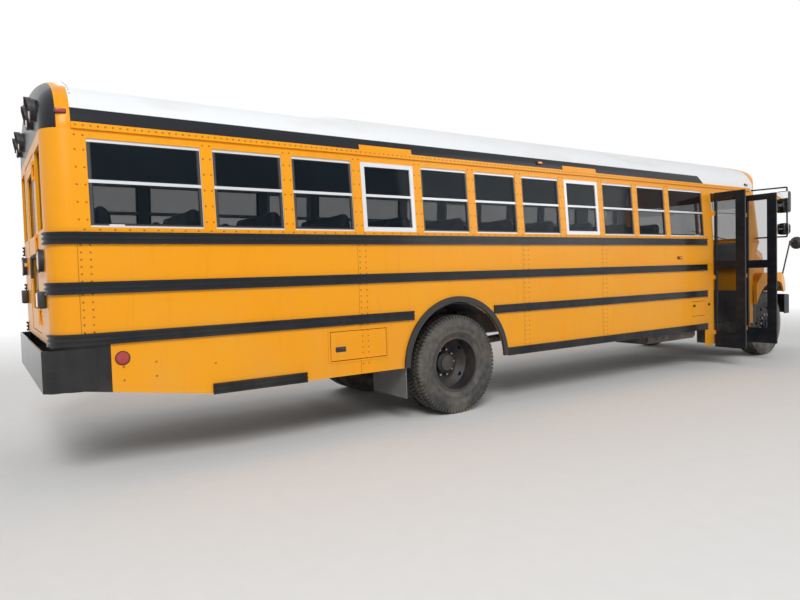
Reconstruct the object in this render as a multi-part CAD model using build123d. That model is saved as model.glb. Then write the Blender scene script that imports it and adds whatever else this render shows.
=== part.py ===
from build123d import *
import os
from math import atan2, cos, degrees, hypot, radians, sin, sqrt, tan

# School bus, full size, millimetres. X points forward, Y to the left, Z up.
# The origin is on the ground, midway between the two bumpers' faces.

# Body section
half_width = 1219.0          # half the body's width at the rub rails
tumblehome = 49.0            # how far the wall leans in between sill and drip rail
skirt_z = 576.0              # lower edge of the side skirt
sill_z = 1935.0              # lower edge of the side windows
drip_z = 2664.0              # where wall and roof meet
roof_rise = 565.0            # crown above the drip line
roof_leg = 100.0
shoulder_radius = 400.0      # roof shoulder
wall = 50.0                  # wall and roof with their lining
skirt_sheet = 6.0            # single skin below the floor
rear_skirt_z = 712.0         # skirt at the rear corner, from where it slopes down
skirt_slope_length = 936.0

# Stations along the body
window_pitch = 711.2
pillar_count = 10            # pillars between the eleven windows of a side
pillar_width = 100.0
first_pillar_x = -4395.0     # centre of the rearmost of them
rear_window_width = 846.0
front_window_width = 833.0
rear_margin = 294.0          # rear face to the first window
rear_panel_length = 198.0    # rounded rear corner panel, up to its riveted seam
rear_radius = 185.0          # rounding of the rear corners and the roof's rear edge
door_post_width = 232.0
door_width = 950.0
jamb_length = 182.0          # side panel ahead of the door opening
nose_length = 654.0          # door opening to the foremost point of the front cap
nose_radius = 450.0          # plan rounding of the body's front corners
front_roof_radius = 110.0
windshield_rake = 75.0       # windshield foot ahead of its head
cowl_to_axle = 553.2         # door jamb to the front axle
wheelbase = 6579.0

# Windows
window_head_z = 2600.0
transom_z = 2281.0
transom_height = 24.0
sash_width = 24.0
sash_depth = 26.0
sash_recess = 10.0
exit_sash_width = 42.0
exit_windows = (3, 7)        # push-out windows, counted from the rear
glass_thickness = 6.0
driver_window_drop = 90.0    # driver's window reaches this much lower
driver_window_margin = 60.0
rear_window_gap = 105.0      # rear door to the window beside it
rear_window_margin = 229.0   # that window to the body's side
rear_window_head_z = 2570.0

# Nose
cowl_drop = 60.0             # cowl shelf below the side sill
nose_wall = 40.0
shelf_thickness = 20.0
pillar_depth = 60.0
windshield_margin = 99.0     # windshield glass to the body's side
windshield_foot_z = 1950.0
windshield_head_z = 2610.0
centre_post_half = 22.0

# Service door
door_foot_z = 290.0
post_foot_z = 323.0
jamb_foot_length = 100.0
door_head_z = 2580.0
door_head_gap = 6.0
leaf_thickness = 40.0
leaf_gap = 7.0
leaf_inner_stile = 30.0
leaf_outer_stile = 90.0
leaf_nosing = 40.0
leaf_top_rail = 90.0
leaf_foot_rail = 230.0
leaf_mid_z = 1450.0
leaf_mid_height = 120.0
leaf_hinge_offset = 13.0     # hinge line outside the body's side
leaf_hinge_inset = 24.0      # hinge line from the jamb

# Floor and steps
floor_z = 1090.0
floor_thickness = 30.0
sill_beam_height = 60.0
sill_beam_width = 60.0
step_count = 3
step_inset = 14.0            # lowest tread's edge inside the body's side
step_rail_gap = 25.0         # floor edge at the steps to the frame rail
step_foot_z = 340.0
step_rise = 250.0
step_sheet = 5.0

# Chassis
rail_outer_y = 430.0
rail_height = 250.0
rail_flange = 80.0
rail_sheet = 9.0
rail_rear_gap = 185.0        # rail ends inside the two bumpers' faces
rail_front_gap = 175.0
spring_width = 76.0

# Wheels
tyre_radius = 530.0
tyre_width = 279.0
rim_radius = 288.0
rim_width = 210.0
rim_flange = 8.0
rim_sheet = 14.0
flange_height = 12.0
bead_clearance = 0.5
arch_offset = -33.0          # arch centre behind the axle
front_wheel_y = 1015.0
dual_outer_y = 1030.0
dual_spacing = 343.0
kingpin_y = 860.0
arch_radius = 640.0
arch_flare = 60.0
arch_centre_z = 565.0
housing_radius = 660.0       # wheel housings through the floor
stud_circle = 285.75
stud_count = 10
nut_half = 17.0
hand_hole_count = 5
hand_hole_circle = 236.0
hand_hole_radius = 28.0

# Bumpers, rails and trim
front_overhang = 849.0       # front axle to the bumper's face
rear_bumper_gap = 70.0       # rear wall to the bumper's face
rear_bumper_foot_z = 720.0
rear_bumper_height = 312.0
rear_bumper_depth = 358.0
rear_bumper_sweep = 60.0
front_bumper_foot_z = 655.0
front_bumper_height = 320.0
front_bumper_depth = 270.0
front_bumper_sweep = 110.0
front_bumper_half = 1175.0
bracket_height = 120.0
rub_rail_depth = 20.0
rub_rail_height = 90.0

# Right-hand hatch and fuel filler door
hatch_length = 618.0
hatch_arch_gap = 264.0       # hatch to the rear arch
hatch_z = (720.0, 1000.0)
fuel_door_length = 335.0
fuel_door_gap = 6.0          # fuel door to the door post
fuel_door_z = (775.0, 994.0)
panel_gap = 6.0
seam_gap = 0.3               # between two sheets that meet at a seam
sheet_lengths = (2386.0, 2175.0, 1391.0)     # side sheets from the rear seam

# Rear door
rear_door_half = 455.0
rear_door_foot_z = 1110.0
rear_door_head_z = 2590.0

# Hood
hood_hinge_gap = 155.0       # hinge line behind the bumper's face
hood_hinge_z = 1020.0
hood_front_gap = 135.0       # grille behind the bumper's face
hood_wall = 25.0
fender_top_z = 1360.0

# More body sizes
firewall_thickness = 40.0
housing_inner_y = 520.0
housing_sheet = 5.0
rim_centre_z = 530.0
cross_member_gaps = (120.0, 50.0)    # outer cross-members inside the rails' ends
cross_member_x = (-4100.0, -2900.0, -900.0, 500.0, 1900.0, 3200.0)
cross_member_height = 130.0
horn_thickness = 14.0
horn_length = 140.0
horn_radius = 24.0
hinge_pin_reach = 45.0
hinge_pin_radius = 10.0
bumper_sheet = 12.0
rear_panel_margin = 189.0
rear_panel_foot_z = 1050.0

# Trim on the sides
rub_rail_z = {"sill": 1854.0, "seat": 1482.0, "floor": 1098.0, "skirt": 612.0}
rub_rail_post_reach = 51.0   # rails run onto the door post
floor_rail_arch = (-569.0, 516.0)    # rail ends from the arch centre
skirt_rail_arch = 706.0
skirt_rail_length = 855.0    # short rail behind the hatch
drip_depth = 18.0
drip_height = 48.0
flare_depth = 26.0
flap_gap = 18.0
flap_thickness = 10.0
flap_foot_z = 260.0
flap_inner_y = 560.0
spring_bow = 60.0

# Running gear
pinion_reach = 293.0         # axle to the pinion's flange
spring_half = 720.0
rear_spring_y = 486.0
front_spring_y = 390.0
leaf_pack = 84.0
beam_foot_z = 395.0
beam_height = 85.0
knuckle_low_z = 420.0
knuckle_high_z = 640.0
yoke_thickness = 45.0
pin_radius = 25.0
pin_clearance = 0.4
boss_radius = 42.0
front_spindle_radius = 40.0
front_spindle_end_y = 1150.0
rear_spindle_radius = 55.0
rear_spindle_end_y = 900.0
hub_clearance = 0.5
disc_thickness = 12.0
front_disc_y = 1113.0
drum_radius = 205.0
engine_reach = (-486.0, 524.0)       # engine's ends from the front axle
engine_z = (640.0, 1420.0)
engine_half = 330.0
tank_length = 1150.0
tank_post_gap = 39.0
tank_margin = 139.0          # tank inside the body's side
tank_inner_y = -500.0
tank_z = (430.0, 930.0)

# Hood form
hood_gap = 8.0
hood_foot_z = 1050.0
hood_brow_z = 1610.0
hood_grille_z = 1430.0
hood_half_front = 800.0
# Hood's shoulder at its rear and front ends: inset from the body's side, height
hood_shoulder_rear = ((0.0, 1600.0), (54.0, 1790.0), (209.0, 1890.0))
hood_shoulder_front = ((0.0, 1000.0), (179.0, 1270.0), (519.0, 1880.0))
hood_side_inset = 34.0       # hood's sides inside the body's
hood_taper_x = 560.0         # where the hood's sides start to draw in, from the jamb
hood_taper = 99.0
hollow_reach = 500.0         # hollows run out this far through open ends
fender_foot_z = 800.0
fender_front_foot_z = 1030.0
fender_nose_z = 1060.0
fender_inner_y = 700.0
fender_margin = 125.5        # fender outside the front tyre
fender_corner = 90.0
fender_crown_x = 260.0       # where the fender's top starts to curve down, from the axle
fender_taper = 150.0
flare_gap = 7.0              # moving flare to the body's side
front_arch_radius = 640.0
front_arch_lead = 30.0       # arch centre ahead of the axle
front_arch_z = 590.0
hood_edge_inset = 37.2       # hood's rear edge ahead of the jamb, at the hinge's height
hood_edge_steps = 8
fender_slip = 26.0           # fender's flare outside which it passes the cowl
hood_pin_clearance = 1.0

grille_half = 430.0
grille_z = (1090.0, 1400.0)
grille_rim = 26.0
grille_bars = 4
headlamp_y = (770.0, 1050.0)
headlamp_z = (1085.0, 1225.0)
headlamp_depth = 40.0
crossview_reach = 170.0      # mirror ahead of the grille
crossview_y = 1240.0
crossview_z = 1850.0
crossview_radius = 105.0
crossview_depth = 75.0

# Inside
driver_reach = 129.2         # driver's seat ahead of the door's rear edge
driver_y = 560.0
dash_depth = 192.8
dash_foot_z = 1480.0
bearing_x = (1900.0, 500.0)
shaft_radius = 50.0
grab_radius = 16.0
muffler_x = (900.0, 2300.0)
muffler_y = 720.0
muffler_z = 640.0
muffler_radius = 130.0
pipe_radius = 50.0
tail_bend_reach = 1273.0     # tailpipe's bend and end ahead of the rear axle
tail_end_reach = 923.0
tail_margin = 99.0
tail_drop = 160.0
grab_inset = 30.0            # grab rail behind the door opening and beside the top step
grab_height = 800.0
grab_drop = 150.0

# Rear door details
door_recess = 4.0
rear_door_stile = 110.0
rear_door_foot_rail = 190.0
rear_door_mid_rail = 150.0

# Loose pieces on the outside
hinge_pin = 9.0
small_pin = 4.5
pin_end_gap = 0.3
lug_height = 60.0
lug_reach = 22.0
leaf_pin_radius = 6.0
leaf_lug_z = (480.0, 1300.0, 2250.0)
stop_arm_gap_x = 60.8        # stop arm's hinge behind the door's rear edge
stop_arm_z = 1670.0
stop_arm_size = 450.0
stop_arm_thickness = 10.0
stop_arm_gap = 10.0
stop_box_length = 70.0
lamp_depth = 55.0
lamp_radius = 92.0
sign_lamp_y = (500.0, 815.0)
sign_lamp_z = 2850.0
front_lamp_z = 2860.0
front_lamp_depth = 40.0
stop_lamp_margin = 339.0     # lamp centres to the body's side
stop_lamp_z = 1700.0
turn_lamp_margin = 319.0
turn_lamp_z = (1335.0, 1465.0)
turn_lamp_half = 85.0
mirror_reach = 391.0         # side mirror outside the body
mirror_jamb_x = 187.2
mirror_z = (2290.0, 2620.0)
spot_mirror_z = 2040.0
mirror_arm_radius = 12.0

# Seats
seat_count = 11
rear_seat_gap = 435.0        # rear wall to the rearmost seat
seat_pitch = 711.2
aisle_half = 149.0
seat_wall_gap = 30.0
seat_cushion_z = 1520.0
seat_top_z = 2150.0

rear_x = first_pillar_x - pillar_width / 2 - rear_window_width - rear_margin
seam_x = rear_x + rear_panel_length
last_pillar_x = first_pillar_x + (pillar_count - 1) * window_pitch
door_post_x = last_pillar_x + pillar_width / 2 + front_window_width
door_rear_x = door_post_x + door_post_width
door_front_x = door_rear_x + door_width
jamb_x = door_front_x + jamb_length
body_front_x = door_front_x + nose_length
foot_front_x = body_front_x + windshield_rake
front_axle_x = jamb_x + cowl_to_axle
rear_axle_x = front_axle_x - wheelbase
arch_x = rear_axle_x + arch_offset
drip_half = half_width - tumblehome
crown_z = drip_z + roof_rise
cowl_z = sill_z - cowl_drop
shoulder_y = drip_half - shoulder_radius
crown_radius = (shoulder_y ** 2 + roof_rise ** 2 - shoulder_radius ** 2) / (2 * (roof_rise - shoulder_radius))
crown_centre_z = crown_z - crown_radius
slope_end_x = seam_x + skirt_slope_length
driver_window_x = (door_rear_x + driver_window_margin, door_front_x - driver_window_margin)
rear_window_y = (rear_door_half + rear_window_gap, half_width - rear_window_margin)
windshield_half = half_width - windshield_margin
inner_half = half_width - wall
leaf_hinge_y = -half_width - leaf_hinge_offset
sheet_seam_x = [seam_x + sum(sheet_lengths[:i + 1]) for i in range(len(sheet_lengths))]
step_edge_y = -rail_outer_y - step_rail_gap
step_outer_y = -half_width + step_inset
step_treads_y = [step_outer_y + i * (step_edge_y - step_outer_y) / step_count for i in range(step_count + 1)]
bumper_front_x = front_axle_x + front_overhang
bumper_rear_x = rear_x - rear_bumper_gap
rail_front_x = bumper_front_x - rail_front_gap
rail_rear_x = bumper_rear_x + rail_rear_gap
hood_hinge_x = bumper_front_x - hood_hinge_gap
hood_front_x = bumper_front_x - hood_front_gap
hatch_front_x = arch_x - arch_radius - hatch_arch_gap
hatch_x = (hatch_front_x - hatch_length, hatch_front_x)
fuel_door_x = (door_post_x - fuel_door_gap - fuel_door_length, door_post_x - fuel_door_gap)
tank_x = (door_post_x - tank_post_gap - tank_length, door_post_x - tank_post_gap)
tank_y = (-half_width + tank_margin, tank_inner_y)
rear_panel_half = half_width - rear_panel_margin
pinion_x = rear_axle_x + pinion_reach
engine_x = (front_axle_x + engine_reach[0], front_axle_x + engine_reach[1])
stop_arm_x = door_rear_x - stop_arm_gap_x
stop_lamp_y = half_width - stop_lamp_margin
turn_lamp_y = half_width - turn_lamp_margin
mirror_x = jamb_x + mirror_jamb_x
mirror_y = half_width + mirror_reach
crossview_x = hood_front_x + crossview_reach
driver_x = door_rear_x + driver_reach
dash_x = jamb_x - dash_depth
first_seat_x = rear_x + rear_seat_gap
seat_width = inner_half - seat_wall_gap - aisle_half
fender_outer_y = front_wheel_y + tyre_width / 2 + fender_margin
fender_slip_y = half_width - fender_slip
hood_half_rear = half_width - hood_side_inset
floor_foot_z = floor_z - floor_thickness
rail_top_z = floor_foot_z - sill_beam_height
rail_foot_z = rail_top_z - rail_height
BIG = 20000.0


def box(x0, x1, y0, y1, z0, z1):
    """Box between two corners."""
    return Pos((x0 + x1) / 2, (y0 + y1) / 2, (z0 + z1) / 2) * Box(x1 - x0, y1 - y0, z1 - z0)


def mirrored(shape):
    """The same shape on the other side of the bus."""
    return mirror(shape, Plane.XZ)


def joined(shapes):
    """One solid, or several that don't touch, from a list."""
    shapes = list(shapes)
    return shapes[0] + shapes[1:] if len(shapes) > 1 else shapes[0]


def prism_y(points, y0, y1):
    """Side outline of (x, z) points, extruded from y0 to y1."""
    face = make_face(Polyline([(x, y0, z) for x, z in points], close=True))
    return extrude(face, amount=y1 - y0, dir=(0, 1, 0))


def prism_x(points, x0, x1):
    """Cross outline of (y, z) points, extruded from x0 to x1."""
    face = make_face(Polyline([(x0, y, z) for y, z in points], close=True))
    return extrude(face, amount=x1 - x0, dir=(1, 0, 0))


def rod(start, end, radius):
    """Round bar between two points."""
    axis = Vector(*end) - Vector(*start)
    return extrude(Plane(origin=start, z_dir=axis) * Circle(radius), amount=axis.length)


def disc_y(x, z, radius, y0, y1):
    """Disc with its axis across the bus."""
    return extrude(Plane(origin=(x, y0, z), z_dir=(0, 1, 0)) * Circle(radius), amount=y1 - y0)


def wall_y(z, inset=0.0):
    """Half width of the wall at height z."""
    lean = tumblehome * min(max((z - sill_z) / (drip_z - sill_z), 0.0), 1.0)
    return half_width - lean - inset


def roof_arcs(x, inset):
    """Roof contour in the plane at x, from the right drip line to the left one."""
    shoulder = shoulder_radius - inset
    crown = crown_radius - inset
    rise = atan2(drip_z - crown_centre_z, shoulder_y)
    joint = (crown * cos(rise), crown_centre_z + crown * sin(rise))
    middle = rise / 2
    bend = (shoulder_y + shoulder * cos(middle), drip_z + shoulder * sin(middle))
    right = ThreePointArc((x, -drip_half + inset, drip_z), (x, -bend[0], bend[1]), (x, -joint[0], joint[1]))
    top = ThreePointArc((x, -joint[0], joint[1]), (x, 0, crown_z - inset), (x, joint[0], joint[1]))
    left = ThreePointArc((x, joint[0], joint[1]), (x, bend[0], bend[1]), (x, drip_half - inset, drip_z))
    return [right, top, left]


def roof_block(inset):
    """Solid above the drip line, rounded over its rear edge."""
    x = rear_x + inset
    foot_z = drip_z - roof_leg
    legs = Polyline((x, drip_half - inset, drip_z), (x, drip_half - inset, foot_z),
                    (x, -drip_half + inset, foot_z), (x, -drip_half + inset, drip_z))
    face = make_face(Wire(roof_arcs(x, inset) + legs.edges()))
    block = extrude(face, amount=jamb_x - x, dir=(1, 0, 0))
    rear_edges = block.faces().sort_by(Axis.X)[0].edges()
    rounded = [edge for edge in rear_edges if edge.center().Z > foot_z + 1.0]
    return fillet(rounded, rear_radius - inset) & box(-BIG, BIG, -BIG, BIG, drip_z, BIG)


def rear_plan(z, half, inset):
    """Plan of the body behind the jamb, rounded at its rear corners."""
    rear = rear_x + inset
    half = half - inset
    radius = rear_radius - inset
    turn = radius * (1 - sqrt(0.5))
    lines = [
        Line((jamb_x, half, z), (rear + radius, half, z)),
        ThreePointArc((rear + radius, half, z), (rear + turn, half - turn, z), (rear, half - radius, z)),
        Line((rear, half - radius, z), (rear, -half + radius, z)),
        ThreePointArc((rear, -half + radius, z), (rear + turn, -half + turn, z), (rear + radius, -half, z)),
        Line((rear + radius, -half, z), (jamb_x, -half, z)),
        Line((jamb_x, -half, z), (jamb_x, half, z)),
    ]
    return make_face(Wire([edge for line in lines for edge in line.edges()]))


def wall_block(foot_z, inset):
    """Solid between foot_z and the drip line, upright to the sill and leaning in above it."""
    upright = extrude(rear_plan(foot_z, half_width, inset), amount=sill_z - foot_z)
    leaning = loft([rear_plan(sill_z, half_width, inset), rear_plan(drip_z, drip_half, inset)], ruled=True)
    return upright + leaning


def nose_plan(z, front_x, half, inset):
    """Plan of the body ahead of the door, rounded at its front corners."""
    radius = nose_radius - inset
    half = half - inset
    front = front_x - inset
    turn = radius * (1 - sqrt(0.5))
    back = jamb_x
    lines = [
        Line((back, half, z), (back, -half, z)),
        Line((back, -half, z), (front - radius, -half, z)),
        ThreePointArc((front - radius, -half, z), (front - turn, -half + turn, z), (front, -half + radius, z)),
        Line((front, -half + radius, z), (front, half - radius, z)),
        ThreePointArc((front, half - radius, z), (front - turn, half - turn, z), (front - radius, half, z)),
        Line((front - radius, half, z), (back, half, z)),
    ]
    return make_face(Wire([edge for line in lines for edge in line.edges()]))


def save(name, shape):
    """Write one sub-part."""
    export_step(shape, f"parts/{name}.step")


os.makedirs("parts", exist_ok=True)

# Body shell, from which the panels are split at the real seams
outer_walls = wall_block(skirt_z, 0.0)
inner_space = wall_block(floor_foot_z, wall)
skirt_space = extrude(rear_plan(skirt_z - 1.0, half_width, skirt_sheet), amount=floor_foot_z - skirt_z + 1.0)
wall_shell = outer_walls - inner_space - skirt_space
outer_roof = roof_block(0.0)
roof_shell = outer_roof - roof_block(wall)

arch_hole = disc_y(arch_x, arch_centre_z, arch_radius, -BIG, BIG)
arch_slot = box(arch_x - arch_radius, arch_x + arch_radius, -BIG, BIG, 0, arch_centre_z)


def window_stations():
    """Front and rear edge of each side window, from the rear."""
    half = pillar_width / 2
    pillars = [first_pillar_x + i * window_pitch for i in range(pillar_count)]
    stations = [(pillars[0] - half - rear_window_width, pillars[0] - half)]
    stations += [(pillars[i] + half, pillars[i + 1] - half) for i in range(pillar_count - 1)]
    stations.append((pillars[-1] + half, pillars[-1] + half + front_window_width))
    return stations


def seam_cuts(side, y0, y1):
    """Cuts at the seams where the sheets and posts of a side wall meet."""
    belt_z = rub_rail_z["sill"]
    cuts = [box(seam_x, jamb_x, y0, y1, z - seam_gap, z) for z in (floor_foot_z, belt_z)]
    cuts += [box(x - seam_gap, x, y0, y1, 0, belt_z) for x in sheet_seam_x]
    if side < 0:
        cuts.append(box(door_post_x - seam_gap, door_post_x, y0, y1, 0, BIG))
        header_z = door_head_z + door_head_gap
        cuts += [box(x - seam_gap, x, y0, y1, header_z - 1, BIG) for x in (door_rear_x, door_front_x)]
    return cuts


def side_panel(side):
    """Side wall in its sheets and posts, with windows, wheel arch, hatches and door cut."""
    far = side * BIG
    y0, y1 = sorted((side * (half_width - wall - 60.0), far))
    panel = wall_shell & box(seam_x, jamb_x, y0, y1, 0, drip_z)
    holes = [box(a, b, y0, y1, sill_z, window_head_z) for a, b in window_stations()]
    holes += [arch_hole, arch_slot]
    slope = ((seam_x - 1, rear_skirt_z), (seam_x - 1, 0), (slope_end_x, 0), (slope_end_x, skirt_z))
    holes.append(prism_y(slope, y0, y1))
    if side < 0:
        holes.append(box(door_rear_x, door_front_x, y0, y1, 0, door_head_z + door_head_gap))
        holes.append(box(*hatch_x, y0, y1, *hatch_z))
        holes.append(box(*fuel_door_x, y0, y1, *fuel_door_z))
    else:
        holes.append(box(*driver_window_x, y0, y1, sill_z - driver_window_drop, window_head_z))
    return panel - holes - seam_cuts(side, y0, y1)


def leaf_lugs(jamb, hinge_x_at):
    """Hinge lugs from the jamb to the hinge line of a leaf."""
    x0, x1 = sorted((jamb + (-20.0 if jamb < hinge_x_at else 20.0), hinge_x_at))
    lugs = []
    for z in leaf_lug_z:
        root_y = -wall_y(z + lug_height, wall / 2) if z > floor_z else -half_width + skirt_sheet
        lug = box(x0, x1, leaf_hinge_y - hinge_pin, root_y, z, z + lug_height)
        lug = lug + Pos(hinge_x_at, leaf_hinge_y, z + lug_height / 2) * Cylinder(hinge_pin, lug_height)
        lugs.append(lug - Pos(hinge_x_at, leaf_hinge_y, z) * Cylinder(leaf_pin_radius + pin_end_gap, 4 * lug_height))
    return lugs


side_right = side_panel(-1)
skin_y = (-half_width, -half_width + skirt_sheet)
side_right = side_right + box(door_post_x, door_rear_x, *skin_y, post_foot_z, skirt_z)
side_right = side_right + box(door_front_x, door_front_x + jamb_foot_length, *skin_y, post_foot_z, skirt_z)
side_right = side_right + leaf_lugs(door_rear_x, door_rear_x + leaf_hinge_inset)
side_right = side_right + leaf_lugs(door_front_x, door_front_x - leaf_hinge_inset)
side_left = side_panel(1)

# Roof and rear cap
roof = roof_shell & box(seam_x, jamb_x, -BIG, BIG, drip_z, BIG)
save("roof_skin", roof)
rear_cap = roof_shell & box(-BIG, seam_x, -BIG, BIG, drip_z, BIG)
save("rear_cap", rear_cap)
rear_shell = wall_shell & box(-BIG, seam_x, -BIG, BIG, rear_skirt_z, drip_z)
rear_window = box(-BIG, rear_x + wall, *rear_window_y, sill_z, rear_window_head_z)
rear_opening = box(-BIG, rear_x + wall, -rear_door_half, rear_door_half, rear_door_foot_z, rear_door_head_z)
bumper_space = box(-BIG, rear_x + wall, -rear_panel_half, rear_panel_half, 0, rear_panel_foot_z)
rear_wall = rear_shell - rear_window - mirrored(rear_window) - rear_opening - bumper_space
hinge_x = rear_x - hinge_pin
hinge_y = -rear_door_half + panel_gap
hinge_rows = (rear_door_foot_z + 150, (rear_door_foot_z + rear_door_head_z) / 2, rear_door_head_z - 150)
for z in hinge_rows:
    for low in (z - 75 - pin_end_gap, z + 45 + pin_end_gap):
        lug = Pos(hinge_x, hinge_y, low + 15) * Cylinder(hinge_pin, 30)
        lug = lug + box(hinge_x - 3, rear_x, -rear_door_half - 60, hinge_y, low, low + 30)
        rear_wall = rear_wall + lug
save("rear_wall", rear_wall)


def wall_slab(x0, x1, z0, z1, outer, inner):
    """Layer of the left wall between two depths, leaning with it."""
    heights = [z0] + [z for z in (sill_z,) if z0 < z < z1] + [z1]
    points = [(wall_y(z, outer), z) for z in heights] + [(wall_y(z, inner), z) for z in reversed(heights)]
    return prism_x(points, x0, x1)


def sash(x0, x1, z0, z1, width, outer):
    """Window frame with a transom, and its two panes."""
    inner = sash_recess + sash_depth
    frame = wall_slab(x0, x1, z0, z1, outer, inner)
    glass_outer = (outer + inner) / 2 - glass_thickness / 2
    panes = []
    for low, high in ((z0 + width, transom_z - transom_height / 2), (transom_z + transom_height / 2, z1 - width)):
        frame = frame - wall_slab(x0 + width, x1 - width, low, high, outer - 1, inner + 1)
        panes.append(wall_slab(x0 + width, x1 - width, low, high, glass_outer, glass_outer + glass_thickness))
    return frame, panes


frames = []
panes = []
for index, (a, b) in enumerate(window_stations()):
    exit_window = index in exit_windows
    width = exit_sash_width if exit_window else sash_width
    frame, glass = sash(a, b, sill_z, window_head_z, width, 0.0 if exit_window else sash_recess)
    frames.append(frame)
    panes.extend(glass)
right_frames = [mirrored(frame) for frame in frames]
right_panes = [mirrored(pane) for pane in panes]
frame, glass = sash(*driver_window_x, sill_z - driver_window_drop, window_head_z, sash_width, sash_recess)
save("window_frames", joined(frames + [frame] + right_frames))
save("side_glass", joined(panes + glass + right_panes))

# Front cap, windshield frame and cowl
hood_rear_z = cowl_z - hood_gap


def nose_shell(inset):
    """Windshield surround from the cowl to the drip line."""
    foot = nose_plan(cowl_z, foot_front_x, wall_y(cowl_z), inset)
    head = nose_plan(drip_z, body_front_x, drip_half, inset)
    return loft([foot, head], ruled=True)


nose_outer = nose_shell(0.0)
nose_inner = nose_shell(nose_wall)
windshield_zone = box(jamb_x + pillar_depth, BIG, -windshield_half, windshield_half, windshield_foot_z,
                      windshield_head_z)
windshield_frame = nose_outer - nose_inner
cowl_shelf = extrude(nose_plan(cowl_z, foot_front_x, wall_y(cowl_z), nose_wall), amount=shelf_thickness)
windshield_frame = (windshield_frame + cowl_shelf) & box(jamb_x, BIG, -BIG, BIG, 0, BIG)
centre_post = (nose_outer - nose_inner) & box(jamb_x, BIG, -centre_post_half, centre_post_half, 0, BIG)
windshield_frame = windshield_frame - windshield_zone + centre_post
glass_outer = nose_shell(nose_wall / 2 - glass_thickness / 2)
glass_inner = nose_shell(nose_wall / 2 + glass_thickness / 2)
windshield = ((glass_outer - glass_inner) & windshield_zone) - centre_post


def cap_block(inset):
    """Solid front end of the roof, rounded over its leading edge."""
    base = Line((jamb_x, drip_half - inset, drip_z), (jamb_x, -drip_half + inset, drip_z))
    section = make_face(Wire(roof_arcs(jamb_x, inset) + base.edges()))
    plan = nose_plan(drip_z, body_front_x, drip_half, inset)
    block = extrude(section, amount=nose_length, dir=(1, 0, 0)) & extrude(plan, amount=roof_rise)
    upper = [edge for edge in block.edges() if edge.center().Z > drip_z + 1.0]
    rim = [edge for edge in upper if edge.bounding_box().max.X > body_front_x - inset - nose_radius + 1.0]
    rim = [edge for edge in rim if edge.center().X > jamb_x + 1.0]
    return fillet(rim, front_roof_radius - inset / 2)


cap_outer = cap_block(0.0)
front_cap = cap_outer - cap_block(nose_wall)
save("front_cap", front_cap)
front_lamps = []
for y in sign_lamp_y:
    seat = Plane(origin=(body_front_x - nose_wall, y, front_lamp_z), z_dir=(1, 0, 0))
    front_lamps.append(extrude(seat * Circle(lamp_radius), amount=nose_wall + front_lamp_depth) - cap_outer)
save("front_lamps", joined(front_lamps + [mirrored(lamp) for lamp in front_lamps]))

# Firewall under the cowl shelf
firewall = box(jamb_x - firewall_thickness, jamb_x, -half_width + wall, half_width - wall,
               floor_foot_z, cowl_z)

# Floor with its cross sills, wheel housings and steps
floor_rear_x = rear_x + wall
floor = inner_space & box(-BIG, jamb_x - firewall_thickness, -BIG, BIG, floor_foot_z, floor_z)
housings = []
for side in (-1, 1):
    y0, y1 = sorted((side * housing_inner_y, side * inner_half))
    housing = disc_y(rear_axle_x, rim_centre_z, housing_radius, y0, y1)
    hollow = disc_y(rear_axle_x, rim_centre_z, housing_radius - housing_sheet,
                    y0 + (housing_sheet if side > 0 else -1), y1 - (housing_sheet if side < 0 else -1))
    housings.append((housing & box(-BIG, BIG, -BIG, BIG, floor_foot_z, BIG)) - hollow)
    cut_y = sorted((side * (housing_inner_y - seam_gap), side * BIG))
    floor = floor - disc_y(rear_axle_x, rim_centre_z, housing_radius + seam_gap, *cut_y)
floor = floor - box(door_rear_x, door_front_x, -inner_half - 1, step_edge_y, 0, floor_z + 1)
sill_count = int((jamb_x - floor_rear_x - 2 * sill_beam_width) // window_pitch) + 1
sill_beams = []
for i in range(sill_count):
    x = floor_rear_x + sill_beam_width + i * window_pitch
    near_wheel = abs(x - rear_axle_x) < housing_radius + sill_beam_width
    near_door = door_rear_x - sill_beam_width < x < jamb_x
    reach = step_edge_y if near_door else -inner_half
    ends = (-housing_inner_y + 5, housing_inner_y - 5) if near_wheel else (reach, inner_half)
    if near_door:
        ends = (reach + 5, -reach - 5)
    sill_beams.append(box(x - sill_beam_width / 2, x + sill_beam_width / 2, *ends,
                          rail_top_z, floor_foot_z))
floor = floor + sill_beams
save("floor_deck", joined([floor] + housings))

# Step well of treads, risers and two cheeks
step_z = [step_foot_z + i * step_rise for i in range(step_count)]
treads = []
risers = []
cheek_line = [(step_treads_y[0], floor_foot_z), (step_treads_y[0], step_z[0] - step_sheet)]
for i, z in enumerate(step_z):
    front_y, back_y = step_treads_y[i], step_treads_y[i + 1]
    last = i == step_count - 1
    riser_top = floor_foot_z if last else z + step_rise - step_sheet - seam_gap
    treads.append(box(door_rear_x, door_front_x, front_y, back_y + step_sheet, z - step_sheet, z))
    risers.append(box(door_rear_x, door_front_x, back_y, back_y + step_sheet, z + seam_gap, riser_top))
    cheek_line += [(back_y + step_sheet, z - step_sheet),
                   (back_y + step_sheet, floor_foot_z if last else z + step_rise - step_sheet)]
cheeks = [prism_x(cheek_line, x, x + step_sheet)
          for x in (door_rear_x - step_sheet - seam_gap, door_front_x + seam_gap)]
step_well = joined(treads + risers + cheeks)
save("step_well", step_well)

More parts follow.
